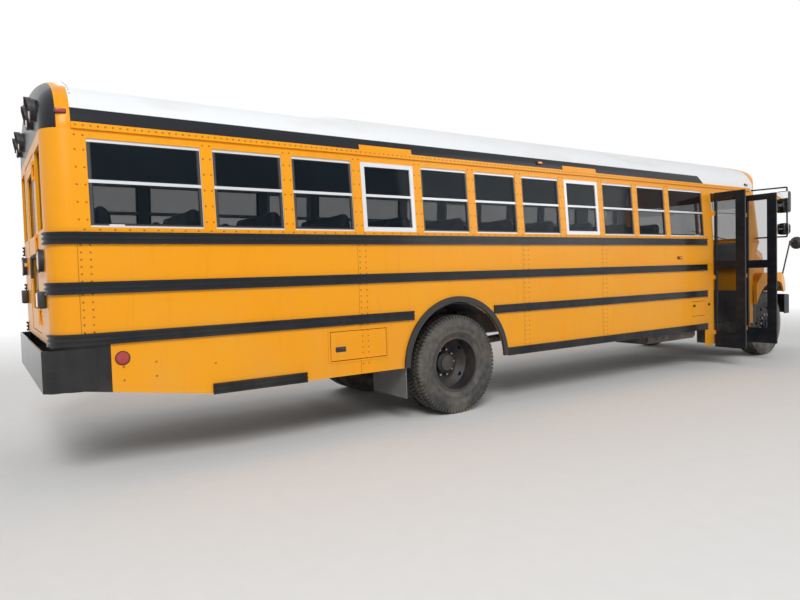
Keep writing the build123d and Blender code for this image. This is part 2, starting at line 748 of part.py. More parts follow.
# Frame rails with their cross-members, hinge horns at the front
rail_web = box(rail_rear_x, rail_front_x, rail_outer_y - rail_sheet, rail_outer_y, rail_foot_z, rail_top_z)
rail = rail_web + [
    box(rail_rear_x, rail_front_x, rail_outer_y - rail_flange, rail_outer_y, z, z + rail_sheet)
    for z in (rail_foot_z, rail_top_z - rail_sheet)
]
frame_parts = [rail, mirrored(rail)]
end_members = (rail_rear_x + cross_member_gaps[0], rail_front_x - cross_member_gaps[1])
for x in cross_member_x + end_members:
    frame_parts.append(box(x - 40, x + 40, -rail_outer_y + rail_sheet, rail_outer_y - rail_sheet,
                           rail_top_z - cross_member_height, rail_top_z - rail_sheet))
for side in (-1, 1):
    y0, y1 = sorted((side * (rail_outer_y - rail_sheet), side * (rail_outer_y - rail_sheet - horn_thickness)))
    horn = prism_y([(rail_front_x - horn_length, rail_foot_z + 30), (rail_front_x, rail_foot_z + 60),
                    (hood_hinge_x + horn_radius - 3, hood_hinge_z - 8), (hood_hinge_x - horn_radius + 3, hood_hinge_z + 8),
                    (rail_front_x - horn_length, rail_top_z)], y0, y1)
    horn = horn + disc_y(hood_hinge_x, hood_hinge_z, horn_radius, y0, y1)
    pin_y = sorted((side * (rail_outer_y - rail_sheet - horn_thickness), side * (rail_outer_y + hinge_pin_reach)))
    frame_parts.append(horn + disc_y(hood_hinge_x, hood_hinge_z, hinge_pin_radius, *pin_y))
chassis_frame = joined(frame_parts)
save("chassis_frame", chassis_frame)

# Bumpers
def bumper_plan(x_face, depth, sweep, half, sheet):
    """Bumper plan, its ends swept back, as a band of one thickness."""
    sign = 1 if x_face > 0 else -1
    outer = [(x_face - sign * depth, -half), (x_face - sign * sweep, -half), (x_face, -half + sweep),
             (x_face, half - sweep), (x_face - sign * sweep, half), (x_face - sign * depth, half)]
    inner = [(x_face - sign * depth, half - sheet), (x_face - sign * sweep, half - sheet),
             (x_face - sign * sheet, half - sweep), (x_face - sign * sheet, -half + sweep),
             (x_face - sign * sweep, -half + sheet), (x_face - sign * depth, -half + sheet)]
    return outer + inner


def bumper(x_face, depth, sweep, half, foot_z, height):
    """Pressed steel bumper."""
    points = [(x, y, foot_z) for x, y in bumper_plan(x_face, depth, sweep, half, bumper_sheet)]
    return extrude(make_face(Polyline(points, close=True)), amount=height, dir=(0, 0, 1))


front_bumper = bumper(bumper_front_x, front_bumper_depth, front_bumper_sweep, front_bumper_half,
                      front_bumper_foot_z, front_bumper_height)
bracket = box(rail_front_x, bumper_front_x - bumper_sheet, rail_outer_y - rail_flange,
              rail_outer_y - rail_sheet - horn_thickness, rail_foot_z, rail_foot_z + bracket_height)
front_bumper = front_bumper + bracket + mirrored(bracket)
save("front_bumper", front_bumper)
rear_bumper = bumper(bumper_rear_x, rear_bumper_depth, rear_bumper_sweep, half_width + bumper_sheet,
                     rear_bumper_foot_z, rear_bumper_height)
bracket = box(bumper_rear_x + bumper_sheet, rail_rear_x, rail_outer_y - rail_flange, rail_outer_y,
              rail_foot_z, rail_foot_z + bracket_height)
rear_bumper = rear_bumper + bracket + mirrored(bracket)
save("rear_bumper", rear_bumper)


# Black rails along both sides
def side_band(depth, z0, z1, x0, x1):
    """Layer on the left wall's outside, following the rear corner."""
    rear = rear_x - depth
    radius = rear_radius + depth
    half = half_width + depth
    turn = radius * (1 - sqrt(0.5))
    edges = [
        Line((rear, 0, z0), (rear, half - radius, z0)),
        ThreePointArc((rear, half - radius, z0), (rear + turn, half - turn, z0), (rear + radius, half, z0)),
        Line((rear + radius, half, z0), (jamb_x, half, z0)),
        Line((jamb_x, half, z0), (jamb_x, 0, z0)),
        Line((jamb_x, 0, z0), (rear, 0, z0)),
    ]
    plan = make_face(Wire([edge for line in edges for edge in line.edges()]))
    band = extrude(plan, amount=z1 - z0) - extrude(rear_plan(z0, half_width, 0.0), amount=z1 - z0)
    return band & box(x0, x1, half - radius, BIG, z0, z1)


def rub_rail(z_middle, x0, x1):
    """Black rail with two flutes along it."""
    third = rub_rail_height / 5
    z = z_middle - rub_rail_height / 2
    layers = [side_band(rub_rail_depth if i % 2 == 0 else rub_rail_depth / 2, z + i * third, z + (i + 1) * third, x0, x1)
              for i in range(5)]
    return joined(layers)


rail_rear_end = rear_x - rub_rail_depth
rail_front_end = door_post_x + rub_rail_post_reach
# Height, rear end, front end
rail_stations = [
    (rub_rail_z["sill"], rail_rear_end, seam_x - seam_gap),
    (rub_rail_z["seat"], rail_rear_end, seam_x - seam_gap),
    (rub_rail_z["floor"], rail_rear_end, seam_x - seam_gap),
    (rub_rail_z["sill"], seam_x, rail_front_end),
    (rub_rail_z["seat"], seam_x, rail_front_end),
    (rub_rail_z["floor"], seam_x, arch_x + floor_rail_arch[0]),
    (rub_rail_z["floor"], arch_x + floor_rail_arch[1], rail_front_end),
    (rub_rail_z["skirt"], slope_end_x + 21.0, slope_end_x + 21.0 + skirt_rail_length),
    (rub_rail_z["skirt"], arch_x + skirt_rail_arch, rail_front_end),
]
left_rails = joined([rub_rail(*row) for row in rail_stations])
save("rub_rails", left_rails + mirrored(left_rails))

drip_line = [(drip_half - 1, drip_z), (drip_half + drip_depth, drip_z), (drip_half + drip_depth, drip_z + drip_height),
             (drip_half - 10, drip_z + drip_height)]
drip_rail = Pos(0, seam_gap, 0) * (prism_x(drip_line, seam_x, jamb_x) - outer_roof - outer_walls)
save("side_panel_right", side_right + mirrored(drip_rail))
save("side_panel_left", side_left + drip_rail)

# Flares round the rear arches and mud flaps behind them
flare = disc_y(arch_x, arch_centre_z, arch_radius + arch_flare, half_width, half_width + flare_depth)
flare = flare - disc_y(arch_x, arch_centre_z, arch_radius, half_width - 1, half_width + flare_depth + 1)
flare = flare & box(-BIG, BIG, -BIG, BIG, skirt_z, BIG)
save("arch_flares", flare + mirrored(flare))
flap_x = arch_x - arch_radius - flap_gap
flap = box(flap_x - flap_thickness, flap_x, flap_inner_y, half_width - skirt_sheet - 20, flap_foot_z,
           floor_foot_z)
save("mud_flaps", flap + mirrored(flap))

# Rear axle: banjo housing, spindles, springs
housing = rod((rear_axle_x, -rear_spindle_end_y, rim_centre_z), (rear_axle_x, rear_spindle_end_y, rim_centre_z),
              rear_spindle_radius)
housing = housing + box(rear_axle_x - 65, rear_axle_x + 65, -590, 590, rim_centre_z - 65, rim_centre_z + 65)
bowl = Plane(origin=(rear_axle_x - 170, 0, rim_centre_z), z_dir=(1, 0, 0)) * Circle(150)
nose = Plane(origin=(rear_axle_x + 90, 0, rim_centre_z), z_dir=(1, 0, 0)) * Circle(215)
pinion = Plane(origin=(pinion_x, 0, rim_centre_z), z_dir=(1, 0, 0)) * Circle(75)
housing = housing + loft([bowl, nose], ruled=True) + loft([nose, pinion], ruled=True)
save("rear_axle", housing)


def leaf_spring(x, y, seat_z):
    """Leaf pack bowed down at its middle, between two hangers."""
    eye_z = seat_z + spring_bow
    top = ThreePointArc((x - spring_half, y, eye_z + 20), (x, y, seat_z + leaf_pack), (x + spring_half, y, eye_z + 20))
    foot = ThreePointArc((x + spring_half, y, eye_z - 15), (x, y, seat_z), (x - spring_half, y, eye_z - 15))
    ends = [Line((x + spring_half, y, eye_z + 20), (x + spring_half, y, eye_z - 15)),
            Line((x - spring_half, y, eye_z - 15), (x - spring_half, y, eye_z + 20))]
    face = make_face(Wire([edge for part in (top, ends[0], foot, ends[1]) for edge in part.edges()]))
    return Pos(0, -spring_width / 2, 0) * extrude(face, amount=spring_width, dir=(0, 1, 0))


def spring_set(x, y, seat_z, inboard):
    """Spring with its two hangers on the rail."""
    spring = leaf_spring(x, y, seat_z)
    eye_z = seat_z + spring_bow
    for end in (-1, 1):
        at = x + end * (spring_half - 30)
        if inboard:
            hanger = box(at - 35, at + 35, y - spring_width / 2, rail_outer_y, eye_z, rail_foot_z)
        else:
            hanger = box(at - 35, at + 35, rail_outer_y, y + spring_width / 2, eye_z, rail_foot_z + 120)
        spring = spring + hanger
    return spring


front_seat_z = beam_foot_z + beam_height
springs = [spring_set(rear_axle_x, rear_spring_y, rim_centre_z + 65, False),
           spring_set(front_axle_x, front_spring_y, front_seat_z, True)]
save("leaf_springs", joined(springs + [mirrored(spring) for spring in springs]))

# Front axle beam with its kingpin bosses
eye_low = knuckle_low_z + yoke_thickness + 5
eye_high = knuckle_high_z - yoke_thickness - 5
half_line = [(kingpin_y - 15, eye_high - 20), (kingpin_y - 230, eye_high - 30), (front_spring_y + 60, front_seat_z)]
low_line = [(front_spring_y + 75, beam_foot_z), (kingpin_y - 215, eye_low + 10), (kingpin_y - 15, eye_low + 20)]
beam_line = half_line + [(-y, z) for y, z in half_line[::-1]] + [(-y, z) for y, z in low_line[::-1]] + low_line
beam = prism_x(beam_line, front_axle_x - 45, front_axle_x + 45)
web_cut = [(y * 0.97, z - 18) for y, z in half_line] + [(-y * 0.97, z - 18) for y, z in half_line[::-1]]
web_cut += [(-y * 0.97, z + 18) for y, z in low_line[::-1]] + [(y * 0.97, z + 18) for y, z in low_line]
for side in (-1, 1):
    x0, x1 = sorted((front_axle_x + side * 14, front_axle_x + side * 46))
    beam = beam - prism_x(web_cut, x0, x1)
for side in (-1, 1):
    beam = beam + Pos(front_axle_x, side * kingpin_y, (eye_low + eye_high) / 2) * Cylinder(boss_radius, eye_high - eye_low)
for side in (-1, 1):
    beam = beam - Pos(front_axle_x, side * kingpin_y, rim_centre_z) * Cylinder(pin_radius + pin_clearance, 400)
save("front_axle_beam", beam)

# Steering knuckles: kingpin, yoke, spindle and backing plate
plate_y = kingpin_y + boss_radius + 6
knuckle = Pos(front_axle_x, kingpin_y, (knuckle_low_z + knuckle_high_z) / 2) * Cylinder(
    pin_radius, knuckle_high_z - knuckle_low_z)
for z in (knuckle_low_z, knuckle_high_z - yoke_thickness):
    knuckle = knuckle + box(front_axle_x - 45, front_axle_x + 45, kingpin_y - 42, plate_y, z, z + yoke_thickness)
knuckle = knuckle + box(front_axle_x - 60, front_axle_x + 60, plate_y, plate_y + 20, knuckle_low_z, knuckle_high_z)
knuckle = knuckle + disc_y(front_axle_x, rim_centre_z, drum_radius - 8, plate_y + 10, plate_y + 16)
knuckle = knuckle + rod((front_axle_x, plate_y, rim_centre_z), (front_axle_x, front_spindle_end_y, rim_centre_z),
                        front_spindle_radius)
arm = prism_x([(plate_y - 20, knuckle_low_z), (plate_y, knuckle_low_z), (plate_y, knuckle_low_z + 30),
               (plate_y - 20, knuckle_low_z + 30)], front_axle_x - 230, front_axle_x - 40)
knuckle = knuckle + arm
save("knuckle_left", knuckle)
save("knuckle_right", mirrored(knuckle))


def revolved_y(points, x, y, z):
    """Ring from (radius, y) points, turned about an axis across the bus."""
    face = make_face(Polyline([(x + r, y + dy, z) for r, dy in points], close=True))
    return revolve(face, Axis((x, y, z), (0, 1, 0)), 360)


def tyre(x, y):
    """Tyre with flat sidewalls and rounded shoulders."""
    w = tyre_width / 2
    bead = rim_width / 2 - rim_flange - bead_clearance
    half = [(rim_radius, bead), (rim_radius + flange_height + 2, bead), (rim_radius + 110, w),
            (tyre_radius - 30, w * 0.93), (tyre_radius, w * 0.68)]
    return revolved_y(half + [(r, -dy) for r, dy in half[::-1]], x, y, rim_centre_z)


def wheel(x, y, disc_y_at, side, bore):
    """Rim, pressed disc dished to disc_y_at, and hub."""
    w = rim_width / 2
    lip = rim_radius + flange_height
    seat = rim_radius - bead_clearance
    inside = rim_radius - rim_sheet
    rim = [(lip, w), (lip, w - rim_flange), (seat, w - rim_flange), (seat, -w + rim_flange),
           (lip, -w + rim_flange), (lip, -w), (inside, -w), (inside, w)]
    near = y + side * (w - 22)
    dish = [(inside, near - y), (inside, near - y - side * rim_sheet), (200, disc_y_at - y - side * disc_thickness),
            (bore, disc_y_at - y - side * disc_thickness), (bore, disc_y_at - y), (200, disc_y_at - y)]
    holes = []
    for i in range(hand_hole_count):
        a = radians(360 / hand_hole_count * (i + 0.5))
        at = (x + hand_hole_circle * cos(a), rim_centre_z + hand_hole_circle * sin(a))
        holes.append(disc_y(*at, hand_hole_radius, y - w, y + w))
    return revolved_y(rim, x, y, rim_centre_z) + (revolved_y(dish, x, y, rim_centre_z) - holes)


def studs(x, disc_face, length):
    """Ring of wheel nuts on one side."""
    nuts = []
    for i in range(stud_count):
        a = radians(360 / stud_count * i)
        seat = Plane(origin=(x + stud_circle / 2 * cos(a), disc_face, rim_centre_z + stud_circle / 2 * sin(a)), z_dir=(0, 1, 0))
        nuts.append(extrude(seat * RegularPolygon(nut_half, 6, major_radius=False), amount=length))
    return nuts


front_tyre = tyre(front_axle_x, front_wheel_y)
save("tyre_front_left", front_tyre)
save("tyre_front_right", mirrored(front_tyre))
front_wheel = wheel(front_axle_x, front_wheel_y, front_disc_y, 1, 90)
hub = revolved_y([(front_spindle_radius + hub_clearance, plate_y + 40 - front_disc_y),
                  (120, plate_y + 40 - front_disc_y), (120, -disc_thickness), (92, -disc_thickness), (92, 30), (70, 55),
                  (front_spindle_radius + hub_clearance, 55)], front_axle_x, front_disc_y, rim_centre_z)
cap = disc_y(front_axle_x, rim_centre_z, 60, front_disc_y + 55, front_disc_y + 70)
drum = revolved_y([(drum_radius, plate_y + 24 - front_disc_y), (drum_radius, -disc_thickness - 2), (110, -disc_thickness - 2),
                   (110, -disc_thickness - 16), (drum_radius - 12, -disc_thickness - 16),
                   (drum_radius - 12, plate_y + 24 - front_disc_y)], front_axle_x, front_disc_y, rim_centre_z)
front_wheel = front_wheel + hub + cap + drum + studs(front_axle_x, front_disc_y, 30)
save("wheel_disc_front_left", front_wheel)
save("wheel_disc_front_right", mirrored(front_wheel))

dual_inner_y = dual_outer_y - dual_spacing
dual_mid_y = (dual_outer_y + dual_inner_y) / 2
rear_tyres = tyre(rear_axle_x, dual_outer_y) + tyre(rear_axle_x, dual_inner_y)
save("tyres_rear_left", rear_tyres)
save("tyres_rear_right", mirrored(rear_tyres))
outer_disc = wheel(rear_axle_x, dual_outer_y, dual_mid_y + disc_thickness, -1, 110)
inner_disc = wheel(rear_axle_x, dual_inner_y, dual_mid_y - disc_thickness, 1, 110)
hub = revolved_y([(rear_spindle_radius + hub_clearance, -230), (150, -230), (150, -disc_thickness),
                  (112, -disc_thickness), (112, 90), (85, 110), (rear_spindle_radius + hub_clearance, 110)],
                 rear_axle_x, dual_mid_y, rim_centre_z)
cap = disc_y(rear_axle_x, rim_centre_z, 84, dual_mid_y + 110, dual_mid_y + 125)
drum = revolved_y([(drum_radius, -240), (drum_radius, -20), (149, -20), (149, -36), (drum_radius - 12, -36),
                   (drum_radius - 12, -240)], rear_axle_x, dual_mid_y, rim_centre_z)
rear_wheel = outer_disc + inner_disc + hub + cap + drum + studs(rear_axle_x, dual_mid_y + disc_thickness, 35)
save("wheel_discs_rear_left", rear_wheel)
save("wheel_discs_rear_right", mirrored(rear_wheel))


# Rear windows and door
def rear_pane(y0, y1, z0, z1):
    """Pane set in the middle of the rear wall."""
    middle = rear_x + wall / 2
    return box(middle - glass_thickness / 2, middle + glass_thickness / 2, y0, y1, z0, z1)


pane = rear_pane(*rear_window_y, sill_z, rear_window_head_z)
save("end_glass", windshield + pane + mirrored(pane))
door_half = rear_door_half - panel_gap
door_low = rear_door_foot_z + panel_gap
door_high = rear_door_head_z - panel_gap
door_inset = rear_x + door_recess
pane_half = door_half - rear_door_stile
door_panel = box(door_inset, rear_x + wall, -door_half, door_half, door_low, door_high)
upper_pane = (-pane_half, pane_half, sill_z, door_high - rear_door_stile)
lower_pane = (-pane_half, pane_half, door_low + rear_door_foot_rail, sill_z - rear_door_mid_rail)
for y0, y1, z0, z1 in (upper_pane, lower_pane):
    door_panel = door_panel - box(rear_x - 1, rear_x + wall + 1, y0, y1, z0, z1)
for z in hinge_rows:
    knuckle_joint = Pos(hinge_x, hinge_y, z) * Cylinder(hinge_pin, 90)
    strap = box(hinge_x - 3, door_inset, hinge_y, hinge_y + 60, z - 45, z + 45)
    door_panel = door_panel + (knuckle_joint + strap)
handle = box(rear_x - 45, rear_x - 30, door_half - 150, door_half - 30, 1690, 1715)
handle = handle + box(rear_x - 45, door_inset, door_half - 60, door_half - 30, 1685, 1720)
save("rear_door_panel", door_panel + handle)
save("rear_door_glass", joined([rear_pane(*upper_pane), rear_pane(*lower_pane)]))

# Service door leaves, swung fully outward
leaf_length = door_width / 2 - leaf_hinge_inset - leaf_gap / 2


def leaf(hinge_x_at):
    """Leaf frame, panes and rubber nosing, reaching outward from its hinge line."""
    x0, x1 = hinge_x_at - leaf_thickness / 2, hinge_x_at + leaf_thickness / 2
    inner_y = leaf_hinge_y
    outer_y = leaf_hinge_y - leaf_length + leaf_nosing
    frame = box(x0, x1, outer_y, inner_y, door_foot_z, door_head_z)
    pane_y = (outer_y + leaf_outer_stile, inner_y - leaf_inner_stile)
    rows = ((door_foot_z + leaf_foot_rail, leaf_mid_z), (leaf_mid_z + leaf_mid_height, door_head_z - leaf_top_rail))
    glass = []
    for z0, z1 in rows:
        frame = frame - box(x0 - 1, x1 + 1, *pane_y, z0, z1)
        glass.append(box(hinge_x_at - glass_thickness / 2, hinge_x_at + glass_thickness / 2, *pane_y, z0, z1))
    for z in leaf_lug_z:
        frame = frame - box(x0 - 1, x1 + 1, inner_y - lug_reach, inner_y + 1, z - panel_gap, z + lug_height + panel_gap)
        middle = z + lug_height / 2
        frame = frame + Pos(hinge_x_at, inner_y, middle) * Cylinder(leaf_pin_radius, lug_height + 4 * panel_gap)
    nosing = box(x0 + 4, x1 - 4, outer_y - leaf_nosing, outer_y, door_foot_z, door_head_z)
    return frame, joined(glass), nosing


leaf_hinges = {"rear": door_rear_x + leaf_hinge_inset, "front": door_front_x - leaf_hinge_inset}
for name, x in leaf_hinges.items():
    frame, glass, nosing = leaf(x)
    save(f"door_{name}_leaf", frame + nosing)
    save(f"door_{name}_glass", glass)

# Hatch and fuel filler door
hatch = box(hatch_x[0] + panel_gap, hatch_x[1] - panel_gap, -half_width, -half_width + skirt_sheet,
            hatch_z[0] + panel_gap, hatch_z[1] - panel_gap)
hatch_pin_z = hatch_z[0] + panel_gap + small_pin
hatch_pin = rod((hatch_x[0] + pin_end_gap, -half_width - 1.5, hatch_pin_z),
                (hatch_x[1] - pin_end_gap, -half_width - 1.5, hatch_pin_z), small_pin)
save("hatch_door", hatch + hatch_pin)
fuel_door = box(fuel_door_x[0] + panel_gap, fuel_door_x[1] - panel_gap, -half_width, -half_width + skirt_sheet,
                fuel_door_z[0] + panel_gap, fuel_door_z[1] - panel_gap)
fuel_pin_x = fuel_door_x[1] - panel_gap - small_pin
fuel_pin = rod((fuel_pin_x, -half_width - 1.5, fuel_door_z[0] + pin_end_gap),
               (fuel_pin_x, -half_width - 1.5, fuel_door_z[1] - pin_end_gap), small_pin)
save("fuel_door", fuel_door + fuel_pin)

# Stop arm folded along the left side
arm_y = half_width + rub_rail_depth + stop_arm_gap
arm_hinge_y = arm_y + stop_arm_thickness / 2
box_face_y = arm_hinge_y - hinge_pin - 1.0
stop_box = box(stop_arm_x - 25, stop_arm_x + stop_box_length, half_width, box_face_y, stop_arm_z - 110, stop_arm_z + 110)
ears = [box(stop_arm_x - hinge_pin, stop_arm_x + stop_box_length, box_face_y, arm_hinge_y + hinge_pin, z, z + 12)
        for z in (stop_arm_z - 110, stop_arm_z + 98)]
save("stop_arm_box", stop_box + ears)
octagon = Plane(origin=(stop_arm_x - 60 - stop_arm_size / 2, arm_y + stop_arm_thickness, stop_arm_z), z_dir=(0, 1, 0))
plate = extrude(octagon * RegularPolygon(stop_arm_size / 2, 8, major_radius=False, rotation=22.5), amount=-stop_arm_thickness)
neck = box(stop_arm_x - 90, stop_arm_x, arm_y, arm_y + stop_arm_thickness, stop_arm_z - 90, stop_arm_z + 90)
barrel = Pos(stop_arm_x, arm_hinge_y, stop_arm_z) * Cylinder(hinge_pin, 196 - 2 * pin_end_gap)
save("stop_arm_plate", plate + neck + barrel)

# Lamps at the rear
def round_lamp(y, z, depth):
    """Round lamp standing off the rear face."""
    lamp = Plane(origin=(rear_x, y, z), z_dir=(-1, 0, 0))
    return extrude(lamp * Circle(lamp_radius), amount=depth)


red = [round_lamp(sign_lamp_y[1], sign_lamp_z, lamp_depth), round_lamp(stop_lamp_y, stop_lamp_z, lamp_depth)]
amber = [round_lamp(sign_lamp_y[0], sign_lamp_z, lamp_depth)]
turn = box(rear_x - lamp_depth, rear_x, turn_lamp_y - turn_lamp_half, turn_lamp_y + turn_lamp_half, *turn_lamp_z)
lamps = red + amber + [turn]
save("rear_lamps", joined(lamps + [mirrored(lamp) for lamp in lamps]))

# Hood with its fenders, open below and behind
hood_rear_x = jamb_x + hood_gap


def band(points, offset):
    """Cross section of the hood's shoulder at one end, from (inset, height) points."""
    half = [(half_width - inset - offset, z) for inset, z in points]
    half[-1] = (half[-1][0], half[-1][1] - offset)
    return [(-y, z) for y, z in half] + [(y, z) for y, z in half[::-1]]


def shoulder_block(inset):
    """Space under the hood's shoulders, which fall and draw in toward the front."""
    ends = []
    for x, points in ((jamb_x, hood_shoulder_rear), (hood_front_x, hood_shoulder_front)):
        outline = [(x, -half_width, 0)] + [(x, y, z) for y, z in band(points, inset)] + [(x, half_width, 0)]
        ends.append(make_face(Polyline(outline, close=True)))
    return loft(ends, ruled=True)


def hood_plan(rear, inset):
    """Plan between the fenders, near parallel at the cowl and drawn in toward the grille."""
    half_line = [(rear, hood_half_rear - inset), (jamb_x + hood_taper_x, half_width - hood_taper - inset),
                 (hood_front_x - 150, hood_half_front - inset), (hood_front_x, hood_half_front - 110 - inset)]
    plan = make_face(Polyline([(x, y, 0) for x, y in half_line + [(x, -y) for x, y in half_line[::-1]]], close=True))
    return extrude(plan, amount=3000)


def hood_core(inset):
    """Outer form between the fenders, or its hollow when inset."""
    rear = jamb_x - (hollow_reach if inset else 0.0)
    foot = hood_foot_z - (hollow_reach if inset else 0.0)
    top = hood_rear_z - inset
    side_line = [(rear, foot), (rear, top), (foot_front_x + 20, top), (hood_front_x - 190, hood_brow_z - inset),
                 (hood_front_x - 60 - inset / 2, hood_brow_z - 110 - inset / 2),
                 (hood_front_x - inset, hood_grille_z - inset), (hood_front_x - inset, foot)]
    core = prism_y(side_line, -half_width, half_width) & hood_plan(rear, inset)
    if inset:
        return core & (shoulder_block(inset) + box(rear, jamb_x, -half_width, half_width, foot, top))
    return core & shoulder_block(inset)


def fender_form(inset):
    """Left fender, tapered in plan toward its nose, or its hollow when inset."""
    foot = fender_foot_z - (hollow_reach if inset else 0.0)
    crown_x = front_axle_x + fender_crown_x
    side_line = [(hood_rear_x + inset, foot), (hood_rear_x + inset, fender_top_z - 2 * fender_corner - inset / 2),
                 (hood_rear_x + 2 * fender_corner + inset / 2, fender_top_z - inset), (crown_x, fender_top_z - inset),
                 (hood_front_x - 190, fender_top_z - 60 - inset), (hood_front_x - 60 - inset / 2, fender_top_z - 170 - inset / 2),
                 (hood_front_x - inset, fender_nose_z + 56 - inset / 2), (hood_front_x - inset, foot)]
    inner_y = fender_inner_y - (hollow_reach if inset else 0.0)
    plan_line = [(hood_rear_x, inner_y), (hood_rear_x, fender_outer_y - inset), (crown_x, fender_outer_y - inset),
                 (hood_front_x, fender_outer_y - fender_taper - inset), (hood_front_x, inner_y)]
    plan = make_face(Polyline([(x, y, 0) for x, y in plan_line], close=True))
    return prism_y(side_line, inner_y, fender_outer_y) & extrude(plan, amount=3000)


def edge_radius(y):
    """Reach of the hood's rear edge from its hinge line, short of the windshield's foot as it rises."""
    turn = max(y - half_width + nose_radius, 0.0)
    foot_x = foot_front_x - nose_radius + sqrt(nose_radius ** 2 - turn ** 2)
    reach = hypot(hood_hinge_x - foot_x - hood_gap, cowl_z - hood_hinge_z)
    return min(reach, hood_hinge_x - jamb_x - hood_edge_inset)


def turned_zone(gap):
    """What the hood's rear edge stays inside of: a body of revolution about the hinge line."""
    first = half_width - nose_radius
    step = (fender_slip_y - first) / hood_edge_steps
    stations = [0.0] + [first + i * step for i in range(hood_edge_steps + 1)]
    profile = [(0, 0)] + [(edge_radius(y) + gap, y) for y in stations] + [(0, fender_slip_y)]
    return revolved_y(profile, hood_hinge_x, 0, hood_hinge_z)


core = hood_core(0.0)
core_shell = core - hood_core(hood_wall)
fender = fender_form(0.0)
fender_shell = (fender - fender_form(hood_wall)) - core
hood = core_shell - fender_form(hood_wall) - mirrored(fender_form(hood_wall)) + fender_shell + mirrored(fender_shell)
arch = disc_y(front_axle_x + front_arch_lead, front_arch_z, front_arch_radius, -BIG, BIG)
arch_foot = box(front_axle_x + front_arch_lead - front_arch_radius, front_axle_x + front_arch_lead + front_arch_radius,
                -BIG, BIG, 0, front_arch_z)
nose_foot = box(front_axle_x, BIG, -BIG, BIG, 0, fender_front_foot_z)
hood = hood - arch - arch_foot - nose_foot
# The hood's rear edge runs round the hinge line, so that it clears the cowl as it tilts
inner_zone = box(jamb_x - 1, hood_front_x + 1, 0, fender_slip_y, 0, 3000)
behind_edge = inner_zone - turned_zone(0.0)
hood = hood - behind_edge - mirrored(behind_edge)
hood = hood - box(jamb_x, hood_rear_x + hood_wall + 1, -half_width - flare_gap, half_width + flare_gap, 0, hood_hinge_z + 60)
for side in (-1, 1):
    lug_y = sorted((side * (rail_outer_y + 5), side * (rail_outer_y + hinge_pin_reach - 10)))
    lug = box(hood_hinge_x - 20, hood_front_x, *lug_y, hood_hinge_z - 20, hood_foot_z + 60)
    hood = hood + (lug - disc_y(hood_hinge_x, hood_hinge_z, hinge_pin_radius + hood_pin_clearance, *lug_y))
grille_hole = box(hood_front_x - 2 * hood_wall, hood_front_x, -grille_half, grille_half, *grille_z)
hood = hood - grille_hole
lamp_zone = box(hood_front_x - 220, hood_front_x + 1, *headlamp_y, *headlamp_z)
front_form = core + fender
headlamp = (front_form - Pos(-headlamp_depth, 0, 0) * front_form) & lamp_zone
hood = hood - headlamp - mirrored(headlamp)
save("hood_shell", hood)
save("headlamps", headlamp + mirrored(headlamp))

# Fixed sides of the cowl behind the hood's edge, up to the windshield's foot
cowl_side = (hood_plan(jamb_x, 0.0) - hood_plan(jamb_x, hood_wall)) & box(jamb_x, foot_front_x, 0, BIG, floor_foot_z, cowl_z)
cowl_side = cowl_side + (hood_plan(jamb_x, 0.0) & box(jamb_x, foot_front_x, 0, BIG, cowl_z - shelf_thickness, cowl_z))
crest = (Pos(0, 0, hood_gap) * core_shell) & box(jamb_x, foot_front_x, 0, BIG, hood_brow_z, cowl_z)
cowl_side = cowl_side + crest - turned_zone(hood_gap)
cowl = windshield_frame + firewall + cowl_side + mirrored(cowl_side)
save("cowl_and_windshield_frame", cowl)

# Grille: surround with level bars
grille_x = (hood_front_x - 2 * hood_wall + 5, hood_front_x)
grille = box(*grille_x, -grille_half, grille_half, *grille_z)
grille = grille - box(grille_x[0] - 1, grille_x[1] + 1, -grille_half + grille_rim, grille_half - grille_rim,
                      grille_z[0] + grille_rim, grille_z[1] - grille_rim)
bar_pitch = (grille_z[1] - grille_z[0] - 2 * grille_rim) / (grille_bars + 1)
for i in range(grille_bars):
    z = grille_z[0] + grille_rim + (i + 1) * bar_pitch
    grille = grille + box(grille_x[0] + 8, grille_x[1] - 6, -grille_half, grille_half, z - 11, z + 11)
grille = grille + box(grille_x[0] + 8, grille_x[1] - 6, -18, 18, *grille_z)
save("grille", grille)

# Crossview mirrors on the fenders
def crossview(y):
    """Domed mirror on a bent stalk from the fender."""
    foot = (crossview_x - 330, y - 110, fender_top_z - 150)
    knee = (crossview_x - 200, y - 20, crossview_z + 30)
    head = (crossview_x - 25, y, crossview_z)
    stalk = rod(foot, knee, mirror_arm_radius) + rod(knee, head, mirror_arm_radius)
    rim = Plane(origin=(crossview_x, y, crossview_z), z_dir=(-1, 0, 0))
    dome = extrude(rim * Circle(crossview_radius), amount=crossview_depth / 3)
    face = [rim.offset(crossview_depth * share) * Circle(crossview_radius * width)
            for share, width in ((1 / 3, 1.0), (0.7, 0.85), (1.0, 0.5))]
    dome = dome + loft(face[:2], ruled=True) + loft(face[1:], ruled=True)
    return stalk - (core + fender), dome


stalk, dome = crossview(crossview_y)
stalk = stalk - dome
save("crossview_mirrors", stalk + dome + mirrored(stalk + dome))

